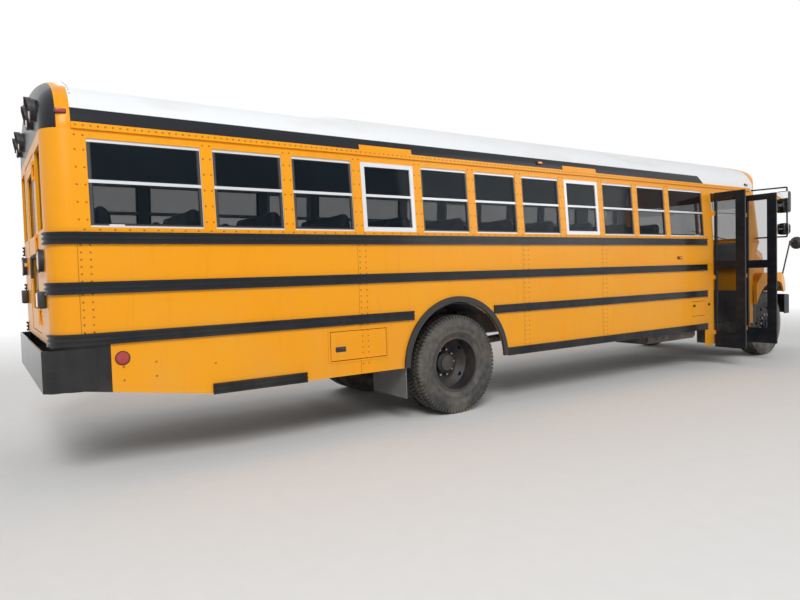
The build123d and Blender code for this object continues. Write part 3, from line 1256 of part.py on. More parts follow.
# Side mirrors on looped arms
def side_mirror():
    """Left mirror arms with a flat and a domed head."""
    top = (mirror_x, mirror_y + 40, mirror_z[1] + 60)
    foot = (mirror_x, mirror_y + 40, spot_mirror_z - 120)
    root_high = (mirror_x - 120, wall_y(drip_z) - 30, mirror_z[1] + 60)
    root_low = (mirror_x - 100, half_width - 30, spot_mirror_z - 120)
    arms = rod(root_high, top, mirror_arm_radius) + rod(top, foot, mirror_arm_radius) + rod(foot, root_low, mirror_arm_radius)
    flat = box(mirror_x - 55, mirror_x + 15, mirror_y - 90, mirror_y + 90, *mirror_z)
    flat = fillet(flat.edges().filter_by(Axis.X), 35)
    domed = box(mirror_x - 45, mirror_x + 15, mirror_y - 85, mirror_y + 85, spot_mirror_z - 90, spot_mirror_z + 90)
    domed = fillet(domed.edges().filter_by(Axis.X), 60)
    return arms - flat - domed, flat + domed


arms, heads = side_mirror()
arms = arms - outer_roof - outer_walls - nose_outer - front_cap
save("side_mirrors", arms + heads + mirrored(arms + heads))

# Engine, transmission, driveshaft, tank and exhaust
engine = box(*engine_x, -engine_half, engine_half, *engine_z)
engine = chamfer(engine.edges().filter_by(Axis.X), 60)
for x in (engine_x[0] + 150, engine_x[1] - 150):
    engine = engine + box(x - 50, x + 50, -rail_outer_y + 15, rail_outer_y - 15, rail_top_z, rail_top_z + 20)
save("engine_block", engine)
shaft_z = 760.0
bell = [Plane(origin=(x, 0, shaft_z), z_dir=(1, 0, 0)) * Circle(r) for x, r in
        ((engine_x[0], 270), (engine_x[0] - 230, 190), (engine_x[0] - 720, 150))]
transmission = loft(bell[:2], ruled=True) + loft(bell[1:], ruled=True)
transmission = transmission + box(engine_x[0] - 700, engine_x[0] - 600, -rail_outer_y + rail_flange, rail_outer_y - rail_flange,
                                  shaft_z + 60, shaft_z + 90)
transmission = transmission + [
    box(engine_x[0] - 700, engine_x[0] - 600, *sorted((side * (rail_outer_y - rail_flange - 40), side * (rail_outer_y - rail_sheet))),
        shaft_z + 60, shaft_z + 90) for side in (-1, 1)]
shaft_points = [(engine_x[0] - 720, 0, shaft_z)]
shaft_points += [(x, 0, shaft_z - 60 * i) for i, x in enumerate(bearing_x, 1)]
shaft_points.append((pinion_x, 0, rim_centre_z))
shaft = joined([rod(a, b, shaft_radius) for a, b in zip(shaft_points, shaft_points[1:])] +
               [Pos(*p) * Sphere(shaft_radius + 12) for p in shaft_points[1:-1]])
shaft = shaft & box(pinion_x, engine_x[0] - 720, -200, 200, 0, 2000)
bearings = [box(p[0] - 30, p[0] + 30, -60, 60, p[2] + shaft_radius - 5, rail_top_z - cross_member_height)
            for p in shaft_points[1:-1]]
save("driveline", transmission + shaft + bearings)
tank = box(*tank_x, *tank_y, *tank_z)
tank = fillet(tank.edges().filter_by(Axis.X), 70)
for x in (tank_x[0] + 200, tank_x[1] - 200):
    tank = tank + box(x - 30, x + 30, tank_y[1] - 80, -rail_outer_y, tank_z[1] - 90, tank_z[1] - 40)
neck_x = (fuel_door_x[0] + fuel_door_x[1]) / 2
tank = tank + rod((neck_x, tank_y[0] + 60, tank_z[1] - 90), (neck_x, -half_width + 60, sum(fuel_door_z) / 2), 32)
save("fuel_tank", tank)
# Muffler beside the rail, its inlet from the engine and its tailpipe out ahead of the rear wheels
muffler_line = [(x, muffler_y, muffler_z) for x in (muffler_x[1], muffler_x[0])]
tail_bend = (rear_axle_x + tail_bend_reach, muffler_y, muffler_z)
tail_end = (rear_axle_x + tail_end_reach, half_width - tail_margin, muffler_z - tail_drop)
exhaust = rod(*muffler_line, muffler_radius) + rod(muffler_line[1], tail_bend, pipe_radius)
exhaust = exhaust + rod(tail_bend, tail_end, pipe_radius)
exhaust = exhaust + rod(muffler_line[0], (jamb_x, engine_half + 230, muffler_z + 60), pipe_radius)
exhaust = exhaust + [box(x - 20, x + 20, rail_outer_y, muffler_y, rail_foot_z - 10, rail_foot_z + 20)
                     for x in (muffler_x[0] + 300, muffler_x[1] - 300)]
save("exhaust", exhaust)

# Seats: cushion and high back, one column on each side of the aisle
def seat(x):
    """Bench seat on the left side, seen from the side as one closed outline."""
    return [(x, seat_cushion_z - 130), (x + 470, seat_cushion_z - 130), (x + 480, seat_cushion_z - 20),
            (x + 430, seat_cushion_z), (x + 90, seat_cushion_z), (x + 10, seat_top_z - 40), (x - 30, seat_top_z),
            (x - 90, seat_top_z), (x - 105, seat_top_z - 60), (x - 20, seat_cushion_z - 60)]


seat_y = (inner_half - seat_wall_gap - seat_width, inner_half - seat_wall_gap)
seats = [prism_y(seat(first_seat_x + i * seat_pitch), *seat_y) for i in range(seat_count)]
save("passenger_seats", joined(seats + [mirrored(bench) for bench in seats]))
legs = []
for i in range(seat_count):
    x = first_seat_x + i * seat_pitch
    if abs(x + 240 - rear_axle_x) < housing_radius + 60:
        foot = [(seat_y[0] + 60, seat_y[0] + 95)]
    else:
        foot = [(seat_y[0] + 60, seat_y[0] + 95), (seat_y[1] - 130, seat_y[1] - 95)]
    for y0, y1 in foot:
        legs.append(prism_y([(x + 30, seat_cushion_z - 130), (x + 60, floor_z), (x + 95, floor_z), (x + 75, seat_cushion_z - 165),
                             (x + 390, seat_cushion_z - 165), (x + 370, floor_z), (x + 405, floor_z),
                             (x + 430, seat_cushion_z - 130)], y0, y1))

# Driver's place
driver = prism_y([(px + driver_x, pz) for px, pz in ((0, 1450), (450, 1450), (470, 1560), (120, 1560), (60, 2230), (-60, 2230), (-40, 1500))],
                 driver_y - 240, driver_y + 240)
driver = fillet(driver.edges().filter_by(Axis.Y).group_by(Axis.Z)[-1], 25)
pedestal = box(driver_x + 60, driver_x + 360, driver_y - 150, driver_y + 150, floor_z, 1450)
save("driver_seat", driver)
save("seat_frames", joined(legs + [mirrored(leg) for leg in legs] + [pedestal]))
dash_back_x = jamb_x - firewall_thickness
dash_line = [(dash_x, dash_foot_z), (dash_x - 40, dash_foot_z + 240), (dash_x + 60, cowl_z - 45), (dash_back_x, cowl_z - 10),
             (dash_back_x, dash_foot_z)]
dash = prism_y(dash_line, -inner_half + 60, inner_half - 20)
save("dashboard", dash)
column_top = (dash_x - 210, driver_y, 1790)
column_foot = (dash_x + 20, driver_y, 1600)
column = rod(column_foot, column_top, 32) - dash
axis = Vector(*column_top) - Vector(*column_foot)
wheel_plane = Plane(origin=column_top, z_dir=axis)
section = [(215 + 14 * cos(radians(60 * i)), 0, 14 * sin(radians(60 * i))) for i in range(6)]
rim_ring = wheel_plane * revolve(make_face(Polyline(section, close=True)), Axis.Z, 360)
spokes = [wheel_plane * (Rotation(0, 0, a) * Pos(107, 0, 0) * Box(214, 26, 14)) for a in (90, 210, 330)]
hub_disc = wheel_plane * Cylinder(55, 40)
save("steering_wheel", rim_ring + hub_disc + spokes + column)
grab_x = door_rear_x - grab_inset
grab_bend = (grab_x, step_edge_y + grab_inset, floor_z + grab_height)
grab = rod((grab_x, grab_bend[1], floor_z), grab_bend, grab_radius)
grab = grab + rod(grab_bend, (grab_x, -inner_half - grab_radius, grab_bend[2] - grab_drop), grab_radius)
save("grab_rail", grab - wall_shell)
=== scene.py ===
import bmesh
import bpy
from math import atan2, cos, exp, pi, radians, sin
from mathutils import Matrix, Vector
from mathutils.bvhtree import BVHTree


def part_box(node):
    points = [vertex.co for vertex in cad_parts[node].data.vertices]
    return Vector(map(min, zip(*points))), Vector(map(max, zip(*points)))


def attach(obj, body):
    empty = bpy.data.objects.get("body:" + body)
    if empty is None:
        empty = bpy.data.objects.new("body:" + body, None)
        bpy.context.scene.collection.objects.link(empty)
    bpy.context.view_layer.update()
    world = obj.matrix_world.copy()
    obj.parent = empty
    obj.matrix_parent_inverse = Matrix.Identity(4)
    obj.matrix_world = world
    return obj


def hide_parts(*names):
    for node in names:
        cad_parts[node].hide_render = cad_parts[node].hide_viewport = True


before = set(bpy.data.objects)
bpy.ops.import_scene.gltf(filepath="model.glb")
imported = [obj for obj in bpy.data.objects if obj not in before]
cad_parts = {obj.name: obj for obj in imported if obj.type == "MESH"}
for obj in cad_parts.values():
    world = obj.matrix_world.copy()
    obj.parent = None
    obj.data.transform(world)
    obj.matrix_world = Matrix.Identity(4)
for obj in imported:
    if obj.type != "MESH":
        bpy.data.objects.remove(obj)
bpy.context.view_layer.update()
print("stage: frame loaded,", len(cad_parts), "nodes")

# Sizes of the bus that several pieces share, in metres, read from its panels
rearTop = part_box("rear_wall")[1]
roofLow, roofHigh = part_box("roof_skin")
bus = {
    "halfWidth": rearTop.y,
    "seamX": roofLow.x,                         # joint between the sides and the rear wall
    "jambX": roofHigh.x,
    "sillZ": 1.935,
    "transomZ": 2.281,
    "headZ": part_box("window_frames")[1].z,
    "dripZ": roofLow.z,
    "tumblehome": rearTop.y - roofHigh.y,
    "floorZ": 1.090,
    "sheetSeams": (-3.001, -0.826, 0.565),      # joints of the side sheets
    "sheetTop": 1.854,
    "seamWidth": 0.0035,
    "cornerX": -5.195,                          # front end of the black rear corners
    "cornerZ": 1.056,
    "liningDepth": 0.025,                       # how far in from the outer face the lining starts
    "liningFront": 0.30,                        # how far ahead of the front jamb it ends
    "besideY": 1.6,                             # outside a side wall, and beyond both ends:
    "beyondX": 7.0,                             # lines that look for a surface start there
}


def wallY(z):
    # half width of the side wall, which leans in above the sill
    lean = min(max((z - bus["sillZ"]) / (bus["dripZ"] - bus["sillZ"]), 0.0), 1.0)
    return bus["halfWidth"] - bus["tumblehome"] * lean


# Shader maths as Python expressions

class Value:
    def __init__(self, tree, socket):
        self.tree = tree
        self.socket = socket

    def maths(self, operation, *others):
        values = dict(enumerate((self,) + others))
        return self.tree.node("ShaderNodeMath", {"operation": operation}, values)

    def __add__(self, other):
        return self.maths("ADD", other)

    __radd__ = __add__

    def __mul__(self, other):
        return self.maths("MULTIPLY", other)

    __rmul__ = __mul__

    def __sub__(self, other):
        return self.maths("SUBTRACT", other)

    def __rsub__(self, other):
        return self * -1.0 + other

    def clamped(self):
        return self.maths("MINIMUM", 1.0).maths("MAXIMUM", 0.0)

    def rising(self, low, high):
        # 0 below low, 1 above high, straight between
        return ((self - low) * (1.0 / (high - low))).clamped()

    def above(self, edge, blur=0.001):
        return self.rising(edge - blur, edge + blur)

    def within(self, low, high, blur=0.001):
        return self.above(low, blur) * (1.0 - self.above(high, blur))

    def size(self):
        return self.maths("ABSOLUTE")


class Nodes:
    def __init__(self, tree):
        self.nodes = tree.nodes
        self.links = tree.links

    def put(self, made, sockets):
        for key, value in sockets.items():
            if isinstance(value, Value):
                self.links.new(value.socket, made.inputs[key])
            else:
                made.inputs[key].default_value = value

    def node(self, kind, settings, sockets, output=0):
        made = self.nodes.new(kind)
        for key, value in settings.items():
            setattr(made, key, value)
        self.put(made, sockets)
        return Value(self, made.outputs[output])

    def seenRays(self):
        # 1 where the camera, a reflection or glass looks straight at the surface
        path = self.node("ShaderNodeLightPath", {}, {}).socket.node
        rays = [Value(self, path.outputs[f"Is {name} Ray"]) for name in ("Camera", "Glossy", "Transmission")]
        return rays[0].maths("MAXIMUM", rays[1]).maths("MAXIMUM", rays[2])


class Finish(Nodes):
    def __init__(self, name, colour, roughness, **sockets):
        self.material = bpy.data.materials.new(name)
        self.material.use_nodes = True
        super().__init__(self.material.node_tree)
        self.shader = self.nodes["Principled BSDF"]
        self.colour = (*colour, 1.0)
        self.put(self.shader, {"Base Color": self.colour, "Roughness": roughness, **sockets})
        self.place = self.node("ShaderNodeTexCoord", {}, {}, "Object")
        self.x, self.y, self.z = self.parts(self.place)

    def parts(self, vector):
        split = self.node("ShaderNodeSeparateXYZ", {}, {"Vector": vector}, "X").socket.node
        return [Value(self, split.outputs[axis]) for axis in "XYZ"]

    def noise(self, scale, detail=3.0, along=None):
        place = self.place
        if along:
            place = self.node("ShaderNodeMapping", {}, {"Vector": self.place, "Scale": along})
        return self.node("ShaderNodeTexNoise", {}, {"Vector": place, "Scale": scale, "Detail": detail}, "Fac")

    def mix(self, factor, first, second):
        # indices 6 and 7 are the colour sockets of the Mix node, output 2 its colour
        colours = [value if isinstance(value, Value) else (*value[:3], 1.0) for value in (first, second)]
        return self.node("ShaderNodeMix", {"data_type": "RGBA"}, {0: factor, 6: colours[0], 7: colours[1]}, 2)

    def bump(self, height, distance, strength=1.0):
        normal = self.node("ShaderNodeBump", {},
                           {"Height": height, "Distance": distance, "Strength": strength})
        self.put(self.shader, {"Normal": normal})

    def waved(self):
        # the slight waves and fine grain of a large panel
        self.bump(self.noise(2.0, 2.0) * 2.0 + self.noise(350.0, 2.0) * 0.03, 0.003, 0.3)

    def dusted(self, colour, amount, roughness):
        # dust lies on the lower body, in soft patches and runs
        patches = self.noise(2.3, 5.0).rising(0.42, 0.75)
        runs = self.noise(9.0, 3.0, (1.0, 1.0, 0.12)).rising(0.45, 0.8)
        low = 1.0 - self.z.rising(0.35, 1.5)
        mask = ((patches * 0.6 + runs * 0.4) * (low * 0.8 + 0.2) * amount).clamped()
        self.put(self.shader, {"Base Color": self.mix(mask, colour, tone["dust"]),
                               "Roughness": mask * 0.4 + roughness})

    def inside(self):
        # 1 on the cabin's side of the side walls
        lean = self.z.rising(bus["sillZ"], bus["dripZ"]) * bus["tumblehome"]
        depth = bus["halfWidth"] - lean - self.y.size()
        along = self.x.within(bus["seamX"] + 0.001, bus["jambX"] + bus["liningFront"])
        return depth.above(bus["liningDepth"]) * along * (1.0 - self.z.above(bus["dripZ"]))


tone = {
    "yellow": (0.84, 0.325, 0.004),
    "yellowFaded": (0.86, 0.39, 0.016),
    "yellowDeep": (0.60, 0.205, 0.004),
    "seam": (0.20, 0.085, 0.010),
    "black": (0.010, 0.012, 0.016),
    "blackDull": (0.032, 0.035, 0.042),
    "white": (0.80, 0.82, 0.84),
    "whiteSoiled": (0.60, 0.59, 0.55),
    "dust": (0.42, 0.35, 0.25),
    "rubber": (0.020, 0.020, 0.021),
    "rubberGrey": (0.100, 0.098, 0.095),
    "iron": (0.030, 0.029, 0.028),
    "rust": (0.14, 0.055, 0.022),
    "glass": (0.0015, 0.006, 0.012),
    "glassPale": (0.05, 0.16, 0.22),
    "aluminium": (0.62, 0.64, 0.67),
    "red": (0.48, 0.010, 0.012),
    "amber": (0.85, 0.24, 0.010),
    "vinyl": (0.016, 0.022, 0.034),
    "floor": (0.040, 0.040, 0.042),
    "liner": (0.30, 0.32, 0.32),
}


def yellowPaint(name="yellow_paint", panels=False):
    f = Finish(name, tone["yellow"], 0.32, **{"Coat Weight": 0.06, "Coat Roughness": 0.12,
                                              "Specular IOR Level": 0.22})
    faded = f.noise(0.9, 4.0).rising(0.40, 0.66)
    base = f.mix(faded * 0.35, f.colour, tone["yellowFaded"])
    grime = f.noise(14.0, 4.0, (1.0, 1.0, 0.10)).rising(0.56, 0.80)
    base = f.mix(grime * 0.22, base, tone["yellowDeep"])
    if panels:
        # dark joints between the sheets, black rear corners, pale lining inside
        below = 1.0 - f.z.above(bus["sheetTop"])
        for seam in bus["sheetSeams"] + (bus["seamX"],):
            base = f.mix(f.x.within(seam - bus["seamWidth"], seam) * below, base, tone["seam"])
        corner = (1.0 - f.x.above(bus["cornerX"])) * (1.0 - f.z.above(bus["cornerZ"]))
        base = f.mix(corner, base, tone["black"])
        lining = f.mix(f.z.above(bus["floorZ"]), tone["blackDull"], tone["liner"])
        base = f.mix(f.inside(), base, lining)
    f.dusted(base, 0.16, 0.30)
    waves = f.noise(2.2, 2.0)
    peel = f.noise(420.0, 2.0)
    f.bump(waves * 3.0 + peel * 0.02, 0.004, 0.35)
    return f


def blackPaint(name="black_paint", amount=0.12, roughness=0.30):
    f = Finish(name, tone["black"], roughness, **{"Coat Weight": 0.08, "Coat Roughness": 0.08,
                                                  "Specular IOR Level": 0.20})
    worn = f.noise(5.0, 5.0, (0.25, 1.0, 2.5)).rising(0.50, 0.80)
    base = f.mix(worn * 0.6, f.colour, tone["blackDull"])
    f.dusted(base, amount, roughness - 0.02)
    f.bump(f.noise(300.0, 2.0), 0.0008, 0.3)
    return f


roofPaint = {
    "bandTopZ": 2.825,
    "bandFront": 2.85,        # front end of the black band at its top edge
    "bandSlant": 0.95,        # metres forward for each metre down at the band's front end
    "rearCapEdge": -5.481,    # where each cap changes colour
    "frontCapEdge": 4.37,
}


def whiteRoof():
    # white with a black band along each side, a few soiled runs, and a pale lining under it
    f = Finish("white_roof", tone["white"], 0.40, **{"Specular IOR Level": 0.25})
    soil = f.noise(4.0, 6.0, (0.3, 1.0, 1.0)).rising(0.52, 0.82)
    white = f.mix(soil * 0.55, f.colour, tone["whiteSoiled"])
    front = f.x + (f.z - roofPaint["bandTopZ"]) * roofPaint["bandSlant"]
    behind = 1.0 - front.above(roofPaint["bandFront"], 0.003)
    band = (1.0 - f.z.above(roofPaint["bandTopZ"], 0.002)) * behind
    base = f.mix(band, white, tone["black"])
    normal = f.parts(f.node("ShaderNodeTexCoord", {}, {}, "Normal"))
    base = f.mix(1.0 - normal[2].above(-0.02, 0.01), base, tone["liner"])
    f.put(f.shader, {"Base Color": base, "Roughness": 0.38 - band * 0.1})
    f.waved()
    return f


def capPaint(name, first, second, edgeX, soiled):
    # two-colour cap: first behind edgeX, second ahead of it
    f = Finish(name, first, 0.3, **{"Coat Weight": 0.06, "Coat Roughness": 0.1, "Specular IOR Level": 0.22})
    soil = f.noise(6.0, 5.0).rising(0.5, 0.8) * 0.25
    two = f.mix(f.x.above(edgeX, 0.002), f.colour, second)
    f.put(f.shader, {"Base Color": f.mix(soil, two, soiled)})
    f.waved()
    return f


def plainFinish(name, colour, roughness, spread=0.3, scale=30.0, bumpSize=0.0006, **sockets):
    # one colour with a little lighter and darker mottling and a fine grain
    f = Finish(name, colour, roughness, **sockets)
    pale = tuple(min(c * (1.0 + spread) + 0.01 * spread, 1.0) for c in colour)
    deep = tuple(c * (1.0 - spread) for c in colour)
    mottle = f.noise(scale, 4.0)
    f.put(f.shader, {"Base Color": f.mix(mottle, deep, pale),
                     "Roughness": (mottle * 0.25 + (roughness - 0.12)).clamped()})
    f.bump(f.noise(scale * 12.0, 3.0), bumpSize, 0.5)
    return f


def chassisIron(name, colour, dustAmount, top=None):
    # painted iron with rust patches; top gives the height above which it is floor rubber
    f = Finish(name, colour, 0.6)
    rusty = f.noise(11.0, 6.0).rising(0.50, 0.72)
    base = f.mix(rusty * 0.5, f.colour, tone["rust"])
    if top:
        base = f.mix(f.z.above(top), base, tone["floor"])
    f.dusted(base, dustAmount, 0.55)
    f.bump(f.noise(120.0, 4.0), 0.0012, 0.5)
    return f


def tyreRubber():
    f = Finish("tyre_rubber", tone["rubber"], 0.75)
    grey = f.noise(18.0, 5.0).rising(0.35, 0.75)
    base = f.mix(grey * 0.6, f.colour, tone["rubberGrey"])
    f.dusted(base, 0.45, 0.55)
    f.bump(f.noise(160.0, 3.0), 0.0008, 0.6)
    return f


# alpha of each kind of glass below and above a height, and that height
paneAlpha = {"side": (0.40, 0.48, bus["transomZ"]), "end": (0.30, 0.42, 2.46),
             "door": (0.24, 0.24, bus["headZ"])}


def windowGlass(name, low, high, edge):
    # tinted glass, alpha low below edge and high above it, with a faint film
    f = Finish(name, tone["glass"], 0.04, **{"Specular IOR Level": 0.14})
    film = f.noise(3.0, 4.0, (1.0, 1.0, 0.5)).rising(0.45, 0.85)
    upper = f.z.above(edge, 0.004)
    f.put(f.shader, {"Base Color": f.mix(film * 0.06, f.colour, tone["glassPale"]),
                     "Roughness": film * 0.08 + 0.03, "Alpha": upper * (high - low) + low})
    return f


# edge is how far the painted highlight on each pillar's edge reaches past the pillar's half width
windowTrim = {"pitch": 0.7112, "rail": 0.025, "transom": 0.013, "sill": 0.013, "edge": 0.0045,
              "halfPillar": 0.050, "exits": (3, 7)}


def windowFrame(edges):
    # dark frames with thin aluminium rails at the head, transom and sill, and a pale upright strip at each
    # pillar that is a painted highlight on the pillar's edge; the two exit windows have aluminium frames all
    # round
    f = Finish("window_frames", tone["blackDull"], 0.38)
    pillarX = (edges[0][1] + edges[1][0]) / 2
    # painted highlight: the pale upright strip within halfPillar plus edge of each pillar centre stands in
    # for light on the pillar's edge
    reach = (f.x - pillarX).maths("PINGPONG", windowTrim["pitch"] / 2)
    silverAndHighlight = 1.0 - reach.above(windowTrim["halfPillar"] + windowTrim["edge"], 0.0005)
    silverAndHighlight = silverAndHighlight + f.z.above(bus["headZ"] - windowTrim["rail"])
    half = windowTrim["transom"]
    silverAndHighlight = silverAndHighlight + f.z.within(bus["transomZ"] - half, bus["transomZ"] + half)
    silverAndHighlight = silverAndHighlight + (1.0 - f.z.above(bus["sillZ"] + windowTrim["sill"]))
    for index in windowTrim["exits"]:
        silverAndHighlight = silverAndHighlight + f.x.within(edges[index][0], edges[index][1])
    silverAndHighlight = silverAndHighlight.clamped()
    streak = f.noise(40.0, 4.0, (1.0, 1.0, 0.2)).rising(0.3, 0.8)
    pale = f.mix(streak * 0.35, tone["aluminium"], tone["whiteSoiled"])
    f.put(f.shader, {"Base Color": f.mix(silverAndHighlight, f.colour, pale), "Metallic": silverAndHighlight * 0.35,
                     "Roughness": streak * 0.15 + 0.36})
    f.bump(f.noise(220.0, 3.0), 0.0003, 0.4)
    return f


def lensFinish(name, colour):
    f = Finish(name, colour, 0.12, **{"Coat Weight": 1.0, "Coat Roughness": 0.04})
    deep = tuple(c * 0.45 for c in colour)
    facets = f.node("ShaderNodeTexVoronoi", {}, {"Vector": f.place, "Scale": 120.0}, "Distance")
    f.put(f.shader, {"Base Color": f.mix(facets, deep, f.colour)})
    f.bump(facets, 0.0015, 0.6)
    return f


stopBorder = {"inner": 0.030, "outer": 0.009}      # how far in from the edge the border runs


def stopPaint():
    # red octagon with a white border, blank in the middle
    f = Finish("stop_arm_paint", tone["red"], 0.32, **{"Coat Weight": 0.3})
    low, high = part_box("stop_arm_plate")
    half = (high.z - low.z) / 2
    across = (f.x - (low.x + half)).size()
    up = (f.z - (low.z + half)).size()
    reach = across.maths("MAXIMUM", up).maths("MAXIMUM", (across + up) * sin(pi / 4))
    border = reach.within(half - stopBorder["inner"], half - stopBorder["outer"])
    worn = f.noise(20.0, 4.0).rising(0.5, 0.8)
    base = f.mix(border, f.colour, tone["white"])
    f.put(f.shader, {"Base Color": f.mix(worn * 0.25, base, tone["blackDull"])})
    f.bump(f.noise(260.0, 2.0), 0.0004, 0.4)
    return f


def radiatorFins():
    # thin upright fins and flat tubes across them
    f = Finish("radiator_fins", (0.018, 0.018, 0.019), 0.55, **{"Metallic": 0.3})
    fins = f.y.maths("PINGPONG", 0.004) * 250.0
    tubes = f.z.maths("PINGPONG", 0.011) * 90.0
    f.put(f.shader, {"Base Color": f.mix(fins * 0.6, f.colour, (0.10, 0.10, 0.105))})
    f.bump(fins + tubes, 0.003, 0.8)
    return f


def islandBoxes(node):
    # box of each separate solid of a CAD node
    copy = bmesh.new()
    copy.from_mesh(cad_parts[node].data)
    bmesh.ops.remove_doubles(copy, verts=copy.verts, dist=0.00002)
    left = set(copy.verts)
    boxes = []
    while left:
        reached = [left.pop()]
        island = list(reached)
        while reached:
            for edge in reached.pop().link_edges:
                for vert in edge.verts:
                    if vert in left:
                        left.discard(vert)
                        reached.append(vert)
                        island.append(vert)
        corners = [vert.co for vert in island]
        boxes.append((Vector(min(c[i] for c in corners) for i in range(3)),
                      Vector(max(c[i] for c in corners) for i in range(3))))
    copy.free()
    return sorted(boxes, key=lambda pair: (round(pair[0].x, 3), round(pair[0].y, 3), pair[0].z))


# rear and front edge of each side window
windowEdges = sorted({(round(low.x, 4), round(high.x, 4)) for low, high in islandBoxes("window_frames")
                      if low.y < 0})
finishes = {
    "yellow": yellowPaint(),
    "yellowPanels": yellowPaint("yellow_panels", True),
    "black": blackPaint(),
    "trim": blackPaint("trim_black", 0.14, 0.22),
    "doorBlack": blackPaint("door_black", 0.04, 0.36),
    "roof": whiteRoof(),
    "rearCap": capPaint("rear_cap_paint", tone["black"], tone["yellow"], roofPaint["rearCapEdge"],
                        tone["blackDull"]),
    "frontCap": capPaint("front_cap_paint", tone["white"], tone["yellow"], roofPaint["frontCapEdge"],
                         tone["whiteSoiled"]),
    "iron": chassisIron("chassis_iron", tone["iron"], 0.8),
    "undercoat": chassisIron("undercoat", tone["blackDull"], 0.7),
    "floorDeck": chassisIron("floor_and_sills", tone["blackDull"], 0.5, bus["floorZ"] - 0.005),
    "tyre": tyreRubber(),
    "rubber": plainFinish("black_rubber", tone["rubber"], 0.65, 0.5, 20.0),
    "flap": plainFinish("flap_rubber", (0.16, 0.155, 0.15), 0.8, 0.35, 6.0),
    "wheel": chassisIron("wheel_black", (0.020, 0.021, 0.024), 0.22),
    "frames": windowFrame(windowEdges),
    "aluminium": plainFinish("bright_aluminium", tone["aluminium"], 0.42, 0.08, 9.0, 0.0003, Metallic=0.6),
    "steel": plainFinish("bright_steel", (0.58, 0.58, 0.58), 0.35, 0.12, 40.0, 0.0003, Metallic=1.0),
    "glass": windowGlass("window_glass", *paneAlpha["side"]),
    "endGlass": windowGlass("windshield_glass", *paneAlpha["end"]),
    "doorGlass": windowGlass("door_glass", *paneAlpha["door"]),
    "mirror": plainFinish("mirror_glass", (0.82, 0.84, 0.86), 0.04, 0.03, 3.0, 0.0, Metallic=1.0),
    "red": lensFinish("red_lens", tone["red"]),
    "amber": lensFinish("amber_lens", tone["amber"]),
    "clear": lensFinish("clear_lens", (0.74, 0.77, 0.80)),
    "stop": stopPaint(),
    "plastic": plainFinish("black_plastic", (0.022, 0.022, 0.024), 0.5, 0.3, 60.0),
    "greyPlastic": plainFinish("grey_plastic", (0.13, 0.135, 0.14), 0.55, 0.25, 60.0),
    "vinyl": plainFinish("seat_vinyl", tone["vinyl"], 0.42, 0.3, 50.0, 0.0010),
    # painted shade: rivets and screws are a darker tone than the panels round them, brownish on the yellow
    # sides and grey on the white roof, so each head reads as a dark dot
    "rivet": plainFinish("rivet_yellow_painted_shade", (0.40, 0.145, 0.006), 0.45, 0.4, 60.0, 0.0004),
    "roofRivet": plainFinish("rivet_white_painted_shade", (0.42, 0.42, 0.42), 0.45, 0.4, 60.0, 0.0004),
    "zinc": plainFinish("zinc_plate", (0.62, 0.64, 0.66), 0.5, 0.15, 20.0, 0.0004, Metallic=0.6),
    "fins": radiatorFins(),
}
print("stage: finishes made")

nodeFinish = {
    "yellow": ["cowl_and_windshield_frame", "rear_door_panel", "hatch_door", "fuel_door", "hood_shell"],
    "yellowPanels": ["side_panel_left", "side_panel_right", "rear_wall"],
    "roof": ["roof_skin"],
    "rearCap": ["rear_cap"],
    "frontCap": ["front_cap"],
    "trim": ["rub_rails", "rear_bumper"],
    "doorBlack": ["door_rear_leaf", "door_front_leaf"],
    "black": ["front_bumper", "stop_arm_box"],
    "stop": ["stop_arm_plate"],
    "undercoat": ["chassis_frame", "fuel_tank", "step_well", "seat_frames"],
    "floorDeck": ["floor_deck"],
    "iron": ["rear_axle", "leaf_springs", "front_axle_beam", "knuckle_left", "knuckle_right", "driveline",
             "engine_block"],
    "wheel": ["wheel_disc_front_left", "wheel_disc_front_right", "wheel_discs_rear_left",
              "wheel_discs_rear_right"],
    "tyre": ["tyre_front_left", "tyre_front_right", "tyres_rear_left", "tyres_rear_right"],
    "rubber": ["arch_flares"],
    "flap": ["mud_flaps"],
    "frames": ["window_frames"],
    "glass": ["side_glass"],
    "endGlass": ["end_glass", "rear_door_glass"],
    "doorGlass": ["door_rear_glass", "door_front_glass"],
    "red": ["rear_lamps", "front_lamps"],
    "clear": ["headlamps"],
    "plastic": ["side_mirrors", "crossview_mirrors", "steering_wheel", "grille"],
    "greyPlastic": ["dashboard"],
    "steel": ["exhaust", "grab_rail"],
    "vinyl": ["passenger_seats", "driver_seat"],
}
for key, names in nodeFinish.items():
    for name in names:
        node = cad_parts[name]
        node.data.materials.clear()
        node.data.materials.append(finishes[key].material)
print("stage: panels painted")


# Helpers for the pieces


def placed(mesh, name, body, finish, replaced=(), angle=35.0):
    # turns a bmesh into a piece that rides on a body
    data = bpy.data.meshes.new(name)
    mesh.to_mesh(data)
    mesh.free()
    piece = bpy.data.objects.new(name, data)
    bpy.context.scene.collection.objects.link(piece)
    data.materials.append(finishes[finish].material)
    data.shade_smooth()
    data.set_sharp_from_angle(angle=radians(angle))
    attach(piece, body)
    if replaced:
        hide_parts(*replaced)
    return piece


def block(mesh, low, high, bevel=0.0, segments=2):
    made = bmesh.ops.create_cube(mesh, size=1.0)["verts"]
    size = [b - a for a, b in zip(low, high)]
    middle = [(a + b) / 2 for a, b in zip(low, high)]
    bmesh.ops.scale(mesh, vec=size, verts=made)
    bmesh.ops.translate(mesh, vec=middle, verts=made)
    if bevel:
        edges = {edge for vert in made for edge in vert.link_edges}
        rounded = bmesh.ops.bevel(mesh, geom=list(edges), offset=bevel, segments=segments, profile=0.5,
                                  affect="EDGES", material=-1)
        kept = {vert for vert in made if vert.is_valid}
        made = list(kept | {vert for face in rounded["faces"] for vert in face.verts})
    return made


studForms = {}


